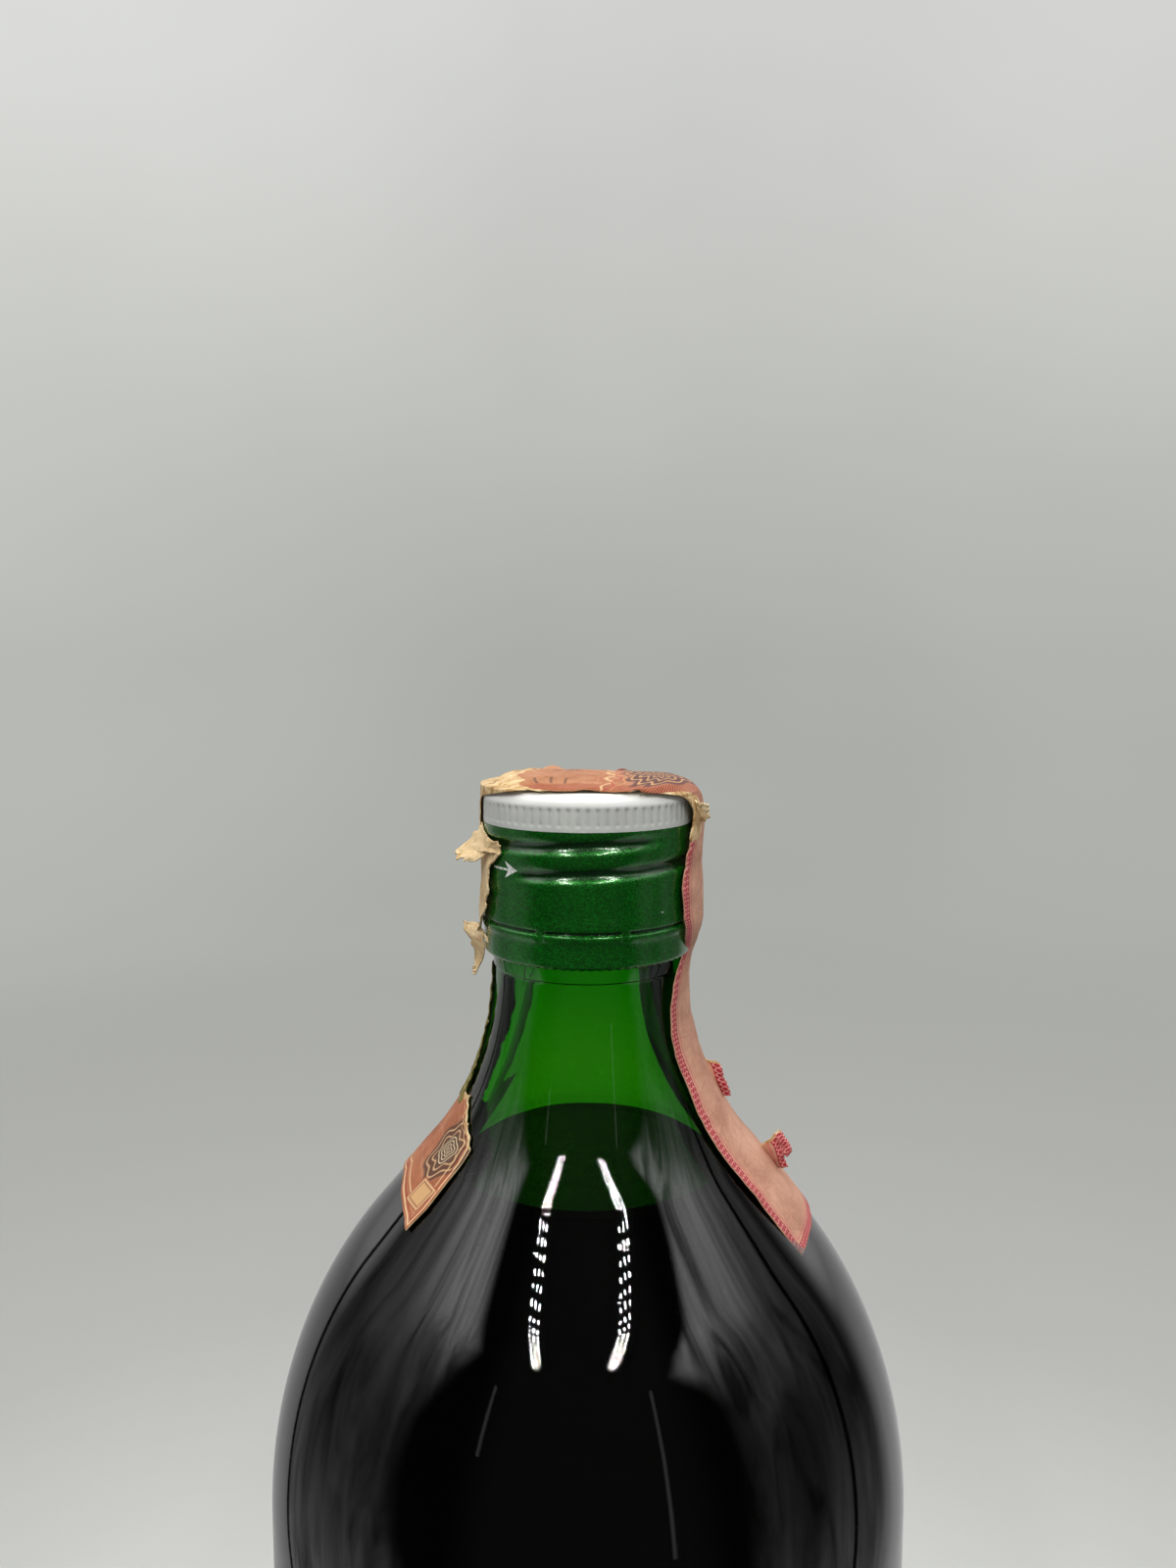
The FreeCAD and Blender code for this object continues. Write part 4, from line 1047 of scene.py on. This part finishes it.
# %% A wavy border of crossing lines, along both long edges and the cut end
edge = add(tree, "Math", {0: mark["near"], 1: mark["far"]}, operation="MINIMUM")
edge = add(tree, "Math", {0: edge, 1: mark["end"]}, operation="MINIMUM")
BORDER_WIDTH, WAVE, FINE_LINE_IN = 1.15, 1.35, 0.42
phase = add(tree, "Math", {0: mark["along"], 1: mark["across"]}, operation="ADD")
phase = add(tree, "Math", {0: phase, 1: 2 * pi / WAVE}, operation="MULTIPLY")
wave = add(tree, "Math", {0: phase}, operation="SINE")
lines = None
for swing in (0.36, -0.36):
    target = add(tree, "Math", {0: wave, 1: swing, 2: BORDER_WIDTH / 2}, operation="MULTIPLY_ADD")
    line_here = line_at(tree, edge, target, 0.03, 0.11, 1.0)
    lines = line_here if lines is None else add(tree, "Math", {0: lines, 1: line_here}, operation="MAXIMUM")
in_border = add(
    tree, "MapRange",
    {
        "Value": edge, "From Min": BORDER_WIDTH - 0.08, "From Max": BORDER_WIDTH + 0.05, "To Min": 1.0,
        "To Max": 0.0
    }
)
crimson = add(tree, "Mix", {0: lines, 1: "#a01f33", 2: "#e6a29c"}, data_type="RGBA")
over_side = add(tree, "MapRange", {"Value": mark["along"], "From Min": 17.0, "From Max": 20.0})
strength = add(tree, "Math", {0: in_border, 1: over_side}, operation="MULTIPLY")
strength = add(tree, "Math", {0: strength, 1: 0.95}, operation="MULTIPLY")
inked = add(tree, "MapRange", {"Value": edge, "From Min": 0.07, "From Max": 0.13})
strength = add(tree, "Math", {0: strength, 1: inked}, operation="MULTIPLY")
tone = add(tree, "Mix", {0: strength, 1: tone, 2: crimson}, data_type="RGBA")
fine = line_at(tree, edge, BORDER_WIDTH + FINE_LINE_IN, 0.05, 0.12, 0.75)
fine = add(tree, "Math", {0: fine, 1: over_side}, operation="MULTIPLY")
tone = add(tree, "Mix", {0: fine, 1: tone, 2: "#c8606a"}, data_type="RGBA")

# %% Hatching along the edge on top of the cap
hatch = add(tree, "Math", {0: phase, 1: 3.1}, operation="MULTIPLY")
hatch = add(tree, "Math", {0: hatch}, operation="SINE")
hatch = add(tree, "MapRange", {"Value": hatch, "From Min": -0.5, "From Max": 0.3})
hem = add(
    tree, "MapRange", {"Value": edge, "From Min": 2.6, "From Max": 3.8, "To Min": 0.95, "To Max": 0.0}
)
hem = add(tree, "Math", {0: hem, 1: inked}, operation="MULTIPLY")
top_side = add(tree, "Math", {0: 1.0, 1: over_side}, operation="SUBTRACT")
beyond = add(
    tree, "MapRange",
    {"Value": mark["along"], "From Min": 11.5, "From Max": 14.0, "To Min": 0.0, "To Max": 0.8}
)
hem = add(tree, "Math", {0: hem, 1: beyond}, operation="MAXIMUM")
hatch = add(tree, "Math", {0: hatch, 1: hem}, operation="MULTIPLY")
hatch = add(tree, "Math", {0: hatch, 1: top_side}, operation="MULTIPLY")
tone = add(tree, "Mix", {0: hatch, 1: tone, 2: "#86281c"}, data_type="RGBA")

# %% A rosette of turned lines
def rosette(tree, tone, along, across, centre, size, ground, thread, petals=9):
    """Lays a rosette over tone. centre and size are (along, across) in mm."""
    u = add(tree, "Math", {0: along, 1: centre[0]}, operation="SUBTRACT")
    u = add(tree, "Math", {0: u, 1: size[0]}, operation="DIVIDE")
    v = add(tree, "Math", {0: across, 1: centre[1]}, operation="SUBTRACT")
    v = add(tree, "Math", {0: v, 1: size[1]}, operation="DIVIDE")
    flat = add(tree, "CombineXYZ", {0: u, 1: v})
    out = add(tree, "VectorMath", {0: flat}, operation="LENGTH").outputs["Value"]
    angle = add(tree, "Math", {0: v, 1: u}, operation="ARCTAN2")
    petal = add(tree, "Math", {0: angle, 1: float(petals)}, operation="MULTIPLY")
    petal = add(tree, "Math", {0: petal}, operation="SINE")
    rim = add(tree, "Math", {0: petal, 1: 0.07, 2: out}, operation="MULTIPLY_ADD")
    disc = add(
        tree, "MapRange", {"Value": rim, "From Min": 0.9, "From Max": 1.02, "To Min": 0.88, "To Max": 0.0}
    )
    tone = add(tree, "Mix", {0: disc, 1: tone, 2: ground}, data_type="RGBA")
    ring = add(tree, "Math", {0: out, 1: 26.0}, operation="MULTIPLY")
    ring = add(tree, "Math", {0: petal, 1: 2.2, 2: ring}, operation="MULTIPLY_ADD")
    ring = add(tree, "Math", {0: ring}, operation="SINE")
    turned_line = add(tree, "MapRange", {"Value": ring, "From Min": 0.35, "From Max": 0.85})
    turned_line = add(tree, "Math", {0: turned_line, 1: disc}, operation="MULTIPLY")
    return add(tree, "Mix", {0: turned_line, 1: tone, 2: thread}, data_type="RGBA")


tone = rosette(
    tree, tone, mark["along"], mark["across"], (10.4, 0.5), (5.6, 12.6), "#4c3038", "#c79a68", 11
)
print("the rosette on the cap is 11 by 25 mm")

# %% Scrolls beside the rosette and short strokes near the front edge
curl_line = add(tree, "Math", {0: mark["across"], 1: 1.15}, operation="MULTIPLY")
curl_line = add(tree, "Math", {0: curl_line}, operation="SINE")
for middle, swing, width, colour in (
    (3.4, 0.7, 0.30, "#dcb888"), (4.6, -0.6, 0.24, "#a83a34"), (2.2, 0.5, 0.15, "#a8553a"),
    (0.4, -0.8, 0.12, "#a8603f"), (-2.4, 0.9, 0.12, "#9c5638"), (-11.3, 0.8, 0.14, "#a8603f"),
    (5.9, 0.5, 0.18, "#c98a5c"),
):
    away = add(tree, "Math", {0: curl_line, 1: swing, 2: middle}, operation="MULTIPLY_ADD")
    scroll = line_at(tree, mark["along"], away, width * 0.6, width * 1.3, 0.85)
    tone = add(tree, "Mix", {0: scroll, 1: tone, 2: colour}, data_type="RGBA")
for middle, back in ((-9.4, 5.2), (-6.6, 5.6), (-4.1, 5.4), (-8.2, 18.0), (-5.0, 17.4), (-2.4, 18.2)):
    u = add(tree, "Math", {0: mark["near"], 1: 0.3, 2: middle - 0.3 * back}, operation="MULTIPLY_ADD")
    u = add(tree, "Math", {0: mark["along"], 1: u}, operation="SUBTRACT")
    u = add(tree, "Math", {0: u}, operation="ABSOLUTE")
    u = add(tree, "Math", {0: u, 1: 0.26}, operation="LESS_THAN")
    v = add(tree, "Math", {0: mark["near"], 1: back}, operation="SUBTRACT")
    v = add(tree, "Math", {0: v}, operation="ABSOLUTE")
    v = add(tree, "Math", {0: v, 1: 1.9}, operation="LESS_THAN")
    stroke = add(tree, "Math", {0: u, 1: v}, operation="MULTIPLY")
    stroke = add(tree, "Math", {0: stroke, 1: 0.7}, operation="MULTIPLY")
    tone = add(tree, "Mix", {0: stroke, 1: tone, 2: "#5a3a2c"}, data_type="RGBA")


# %% Torn places: tan fibres, long and loose
def torn_over(tree, tone, torn):
    """Covers tone with bare torn paper where the torn mark says so."""
    place = add(tree, "TexCoord").outputs["Object"]
    drawn = add(tree, "Mapping", {"Vector": place, "Scale": (500.0, 900.0, 420.0)})
    fibre = add(
        tree, "TexNoise",
        {"Vector": drawn, "Scale": 1.0, "Detail": 5.0, "Roughness": 0.7, "Distortion": 0.6}
    )
    bare = add(
        tree, "ValToRGB", {0: fibre.outputs[0]},
        stops=[(0.3, "#7a5634"), (0.42, "#b8915f"), (0.55, "#dcc091"), (0.7, "#f0dfbe")]
    )
    reach = add(tree, "Math", {0: fibre.outputs[0], 1: 0.5, 2: torn}, operation="MULTIPLY_ADD")
    cover = add(tree, "MapRange", {"Value": reach, "From Min": 0.62, "From Max": 0.78})
    return add(tree, "Mix", {0: cover, 1: tone, 2: bare.outputs[0]}, data_type="RGBA")


def paper_surface(tree, tone, bump):
    """Unglazed paper: rough all over, a little smoother where ink lies."""
    dull = add(tree, "SeparateColor", {0: tone}, mode="HSV")
    dull = add(
        tree, "MapRange",
        {"Value": dull.outputs[1], "From Min": 0.1, "From Max": 0.7, "To Min": 0.88, "To Max": 0.66}
    )
    shell = add(
        tree, "BsdfPrincipled",
        {"Base Color": tone, "Roughness": dull, "IOR": 1.45, "Specular IOR Level": 0.3, "Normal": bump}
    )
    add(tree, "OutputMaterial", {"Surface": shell})


tone = torn_over(tree, tone, mark["torn"])
paper_surface(tree, tone, bump)

# %% Bare paper, for backs, torn edges and scraps
bare_paper, tree = new_material("torn gummed paper, bare fibres")
tone, _, bump = paper_ground(tree, "#ecd8b2", "#dcc195", "#b4966a")
tone = torn_over(tree, tone, 0.3)
stain = add(
    tree, "TexNoise", {"Vector": add(tree, "TexCoord").outputs["Object"], "Scale": 330.0, "Detail": 3.0}
)
stain = add(
    tree, "MapRange",
    {"Value": stain.outputs[0], "From Min": 0.6, "From Max": 0.72, "To Min": 0.0, "To Max": 0.55}
)
tone = add(tree, "Mix", {0: stain, 1: tone, 2: "#a35a3c"}, data_type="RGBA")
paper_surface(tree, tone, bump)

# %% Lay the strip over the cap
seal = paper_sheet("tax_strip_seal", 520, 44, lay_strip, [strip_print, bare_paper], 0.16, 0)
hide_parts("tax_strip_over_cap")

# %% [markdown]
# ## The torn rest of the strip
#
# The strip was torn when the bottle was opened, so on the left only shreds are kept: a tail against the
# cap, a flap folded out from it, a loose scrap, and the foot of the strip on the shoulder with a brown
# trace of gum above it. Each shred is a small grid laid by its corners, with ragged ends. Shreds show the
# bare back of the paper; the foot has its own print, a rosette and a panel on a terracotta ground.

# %% The tail against the cap
TAIL_NEAR = [
    (-0.4, -2.4), (-1.6, -5.0), (-2.6, -10.3), (-4.5, -9.7), (-6.3, -8.4), (-9.2, -8.3), (-12.0, -7.6),
    (-13.6, -6.8), (-15.4, -5.2), (-16.4, -3.6)
]


def lay_tail(share, side):
    """A place on the tail, from the strip's broken end down to its point."""
    up = -0.4 - 16.0 * share
    near = between(TAIL_NEAR, up) + 0.45 * rough(up, 1, 21, 0.9) + 0.2 * rough(up, 2, 22, 0.3)
    far = 3.0 - 3.2 * fade(-up, 11, 16.4) + 0.5 * rough(up, 3, 23, 1.4)
    y = far + (near - far) * side
    r = 16.1 + 0.35 * fade(-up, 4, 15) + 0.22 * rough(up, y, 24, 2.6) + 0.5 * fade(side, 0.75, 1.0) * fade(
        -up, 3, 6
    )
    return (-sqrt(r * r - y * y), y, BORDER + up), (up, y, y - near, far - y, 16.4 + up, 1.0)


paper_sheet("tax_strip_tail", 110, 26, lay_tail, [bare_paper])


# %% Shreds laid by their corners
BARE = (30.0, 0.0, 5.0, 5.0, 9.0, 1.0)


def shred(name, corners, rows, columns, bow, seed, ragged):
    """A four-cornered shred: root left, root right, tip left, tip right, bowed along its length."""
    a, b, c, d = (Vector(corner) for corner in corners)
    out = (b - a).cross(c - a).normalized()

    def lay(share, side):
        left, right = a.lerp(c, share), b.lerp(d, share)
        middle = left.lerp(right, 0.5)
        wide = 1 + ragged * rough(share * 6, 0, seed, 1.0) * fade(share, 0.0, 0.2)
        spot = middle + (left.lerp(right, side) - middle) * wide
        spot += (middle - a.lerp(b, 0.5)) * 0.22 * rough(side * 7, 1, seed, 1.0) * fade(share, 0.6, 1.0)
        spot += out * (bow * sin(pi * share) + 0.25 * rough(share * 5, side * 3, seed + 1, 1.0))
        return (spot.x, spot.y, BORDER + spot.z), BARE

    return paper_sheet(name, rows, columns, lay, [bare_paper])


for name, rows, columns, bow, seed, ragged, corners in (
    ("flap", 44, 34, 0.7, 31, 0.35,
     [(-16.2, -2.6, -0.5), (-13.9, -8.6, -2.5), (-20.3, -3.6, -4.9), (-17.3, -6.4, -5.4)]),
    ("fold", 18, 12, 0.3, 37, 0.35,
     [(-13.8, -8.9, -2.3), (-13.1, -9.9, -2.0), (-16.2, -6.4, -3.9), (-12.7, -10.3, -3.9)]),
    ("tuft", 26, 26, 0.35, 34, 0.6,
     [(15.6, -7.0, 3.6), (16.6, -5.8, 0.4), (17.3, -7.3, 2.9), (17.5, -6.8, 1.3)]),
    ("splinter", 14, 5, 0.1, 36, 0.35,
     [(-15.3, -4.4, -16.6), (-15.4, -4.2, -17.4), (-13.8, -6.2, -18.0), (-13.7, -6.3, -18.3)]),
):
    shred("tax_strip_" + name, corners, rows, columns, bow, seed, ragged)

SCRAP = [
    (-17.6, -2.6, -15.3, 2.3), (-16.9, -3.4, -17.0, 2.8), (-16.4, -3.2, -18.9, 2.5),
    (-16.5, -2.6, -20.9, 1.8), (-17.3, -2.4, -23.4, 0.4)
]


def lay_scrap(share, side):
    """The loose scrap, a twisted ribbon that narrows to a point."""
    x, y, up, wide = along_points(SCRAP, share)
    wide *= 1 + 0.3 * rough(share * 9, 0, 41, 1.0)
    half = (side - 0.5) * max(wide, 0.2)
    turned = 0.15 + 0.7 * share
    lift = 0.2 * rough(share * 8, side * 3, 42, 1.0)
    place = (
        x + half * cos(turned) + lift * 0.6, y - half * sin(turned) - lift,
        BORDER + up + 0.35 * rough(side * 6, 1, 43, 1.0)
    )
    return place, (up, *BARE[1:])


paper_sheet("tax_strip_scrap", 70, 16, lay_scrap, [bare_paper])


# %% Two curls at the back edge of the right side, with the border's hatching on their outer edges
def curl(name, corners, wide, bow, seed):
    """A flap that stands off the strip's back edge: root top, root foot, outer top, outer foot."""
    a, b, c, d = (Vector(corner) for corner in corners)

    def lay(share, side):
        spot = a.lerp(b, side).lerp(c.lerp(d, side), share)
        ends = 1 - 4 * (side - 0.5) ** 2
        spot.y -= bow * sin(pi * share) * (0.4 + 0.6 * ends) + 0.35 * rough(share * 2, side * 3, seed, 1.0)
        spot.x += 0.35 * rough(side * 3.5, 1, seed + 1, 1.0) * share
        spot.z += 0.3 * rough(share * 2, side * 3, seed + 2, 1.0) * share
        marks = (
            38.0 + 5 * side, 9.0, 0.2 + wide * (1 - share), 9.0, 9.0, 0.9 * (1 - fade(side, 0.02, 0.12))
        )
        return (spot.x, spot.y, BORDER + spot.z), marks

    return paper_sheet(name, 34, 44, lay, [strip_print, bare_paper])


for name, wide, bow, seed, corners in (
    ("upper", 2.0, 0.9, 51, [(17.0, 0.5, -37.0), (19.4, 0.5, -42.6), (20.1, -1, -37.8), (21.9, -1, -42.9)]),
    ("lower", 2.4, 0.9, 54, [(26.9, 0.5, -51.4), (28.6, 0.5, -54.8), (28.9, -1, -49.0), (31.0, -1, -54.3)]),
    ("hook", 0.8, 0.4, 57, [(28.7, -0.8, -49.1), (30.7, -1, -52.6), (29.6, -0.4, -48.5), (31.7, -0.6, -52)]),
):
    curl("tax_strip_curl_" + name, corners, wide, bow, seed)

# %% The foot of the strip on the left shoulder
FOOT_NEAR = [
    (-39.8, -4.1), (-40.7, -5.0), (-41.3, -5.7), (-42.2, -5.9), (-43.0, -7.9), (-43.9, -9.0),
    (-45.1, -11.1), (-46.2, -13.2), (-47.4, -13.6), (-49.1, -14.1), (-50.7, -14.6), (-52.3, -15.2),
    (-54.2, -15.8), (-57.0, -16.0)
]
FOOT_END = [
    (-16.0, -57.0), (-13.5, -56.4), (-10.4, -55.7), (-5.9, -55.1), (-1.8, -54.8), (6.8, -56.5),
    (11.4, -57.0)
]


def lay_foot(share, from_front):
    """A place on the foot: share from its torn top down to its cut end, from_front from front to back."""
    side = 1 - from_front
    top, far = -41.5, 11.4
    near = between(FOOT_NEAR, top - 15.5 * share)
    ragged = 1 - fade(share, 0.29, 0.35)
    near += ragged * (0.5 * rough(share * 30, 1, 61, 1.0) + 0.25 * rough(share * 80, 1, 62, 1.0))
    y = far + (near - far) * side
    end = between(FOOT_END, y)
    up = top + (end - top) * share + (1 - share) * 0.6 * rough(y, 0, 63, 1.2)
    lift = 0.3 + 0.12 * rough(up, y, 64, 4.0) + 0.25 * fade(side, 0.9, 1.0) * fade(share, 0.4, 0.9)
    r = glass_radius(BORDER + up) + lift
    torn = ragged * (1 - fade(y - near + 0.7 * rough(up, y, 65, 0.9), 0.3, 1.0))
    torn = max(torn, 1 - fade(top - up + 0.6 * rough(y, up, 66, 1.0), 0.2, 1.0))
    return (-sqrt(r * r - y * y), y, BORDER + up), (-up, y, y - near, far - y, up - end, torn)


# %% Its print: terracotta hatching, a rosette with leaves and a cream panel
foot_print, tree = new_material("gummed tax strip paper, terracotta print")
tone, fold, bump = paper_ground(tree, "#c08560", "#ab6d4c", "#8c5539")
mark = {name: add(tree, "Attribute", attribute_name=name).outputs["Fac"] for name in MARKS}
slant = add(tree, "Math", {0: mark["along"], 1: 0.75, 2: mark["across"]}, operation="MULTIPLY_ADD")
slant = add(tree, "Math", {0: slant, 1: 2 * pi / 0.62}, operation="MULTIPLY")
slant = add(tree, "Math", {0: slant}, operation="SINE")
slant = add(
    tree, "MapRange", {"Value": slant, "From Min": 0.0, "From Max": 0.7, "To Min": 0.0, "To Max": 0.5}
)
tone = add(tree, "Mix", {0: slant, 1: tone, 2: "#9c4f34"}, data_type="RGBA")
wear_and_painted_groove_shade = add(tree, "Math", {0: fold, 1: 0.14}, operation="MULTIPLY")
tone = add(tree, "Mix", {0: wear_and_painted_groove_shade, 1: tone, 2: "#e2bd97"}, data_type="RGBA")
tone = rosette(tree, tone, mark["along"], mark["across"], (47.9, -9.8), (4.4, 4.4), "#4d342c", "#c9a57c", 6)
tone = rosette(tree, tone, mark["along"], mark["across"], (47.9, -9.8), (2.1, 2.1), "#553a30", "#e6d5b0", 4)
for across_line, width, colour in ((0.45, 0.10, "#e8cba2"), (0.85, 0.12, "#9a4430"), (1.5, 0.11, "#dfba8c")):
    away = add(tree, "Math", {0: mark["near"], 1: mark["end"]}, operation="MINIMUM")
    ruled = line_at(tree, away, across_line, width * 0.6, width * 1.2, 0.9)
    tone = add(tree, "Mix", {0: ruled, 1: tone, 2: colour}, data_type="RGBA")
u = add(tree, "Math", {0: mark["along"], 1: 53.4}, operation="SUBTRACT")
u = add(tree, "Math", {0: u}, operation="ABSOLUTE")
v = add(tree, "Math", {0: mark["across"], 1: -12.4}, operation="SUBTRACT")
v = add(tree, "Math", {0: v, 1: 0.75}, operation="MULTIPLY")
v = add(tree, "Math", {0: v}, operation="ABSOLUTE")
box = add(tree, "Math", {0: u, 1: v}, operation="MAXIMUM")
panel = add(
    tree, "ValToRGB", {0: add(tree, "Math", {0: box, 1: 0.36}, operation="MULTIPLY")},
    stops=[
        (0.0, "#cda272"), (0.38, "#cda272"), (0.43, "#8a4c38"), (0.5, "#dcbb8c"), (0.58, "#9c5038"),
        (1.0, "#9c5038")
    ]
)
inside = add(tree, "Math", {0: box, 1: 1.7}, operation="LESS_THAN")
tone = add(tree, "Mix", {0: inside, 1: tone, 2: panel.outputs[0]}, data_type="RGBA")
tone = torn_over(tree, tone, mark["torn"])
paper_surface(tree, tone, bump)
foot = paper_sheet("tax_strip_foot", 190, 110, lay_foot, [foot_print, bare_paper])
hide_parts("tax_strip_left_shoulder")

# %% The gum's brown trace on the neck
gum_trace, tree = new_material("old gum and paper fibres on glass")
tone, _, bump = paper_ground(tree, "#8f864f", "#6f6632", "#4a441f")
paper_surface(tree, tone, bump)


def lay_trace(share, side):
    """The trace runs up the left side of the neck, with a ragged front edge."""
    up = -43.2 + 21.0 * share
    ends = 2.0 * fade(share, 0.8, 1.0) - 1.6 * (1 - fade(share, 0, 0.15))
    near = -2.2 + 1.0 * rough(up, 1, 71, 2.0) + 0.5 * rough(up, 2, 72, 0.5) + ends
    far = 7.5 + rough(up, 3, 73, 2.0)
    y = far + (near - far) * side
    r = glass_radius(BORDER + up) + 0.5 + 0.3 * rough(up, y, 74, 1.2)
    return (-sqrt(r * r - y * y), y, BORDER + up), (up, y, 5.0, 5.0, 9.0, 0.0)


paper_sheet("gum_trace", 90, 24, lay_trace, [gum_trace], thickness=0.15)
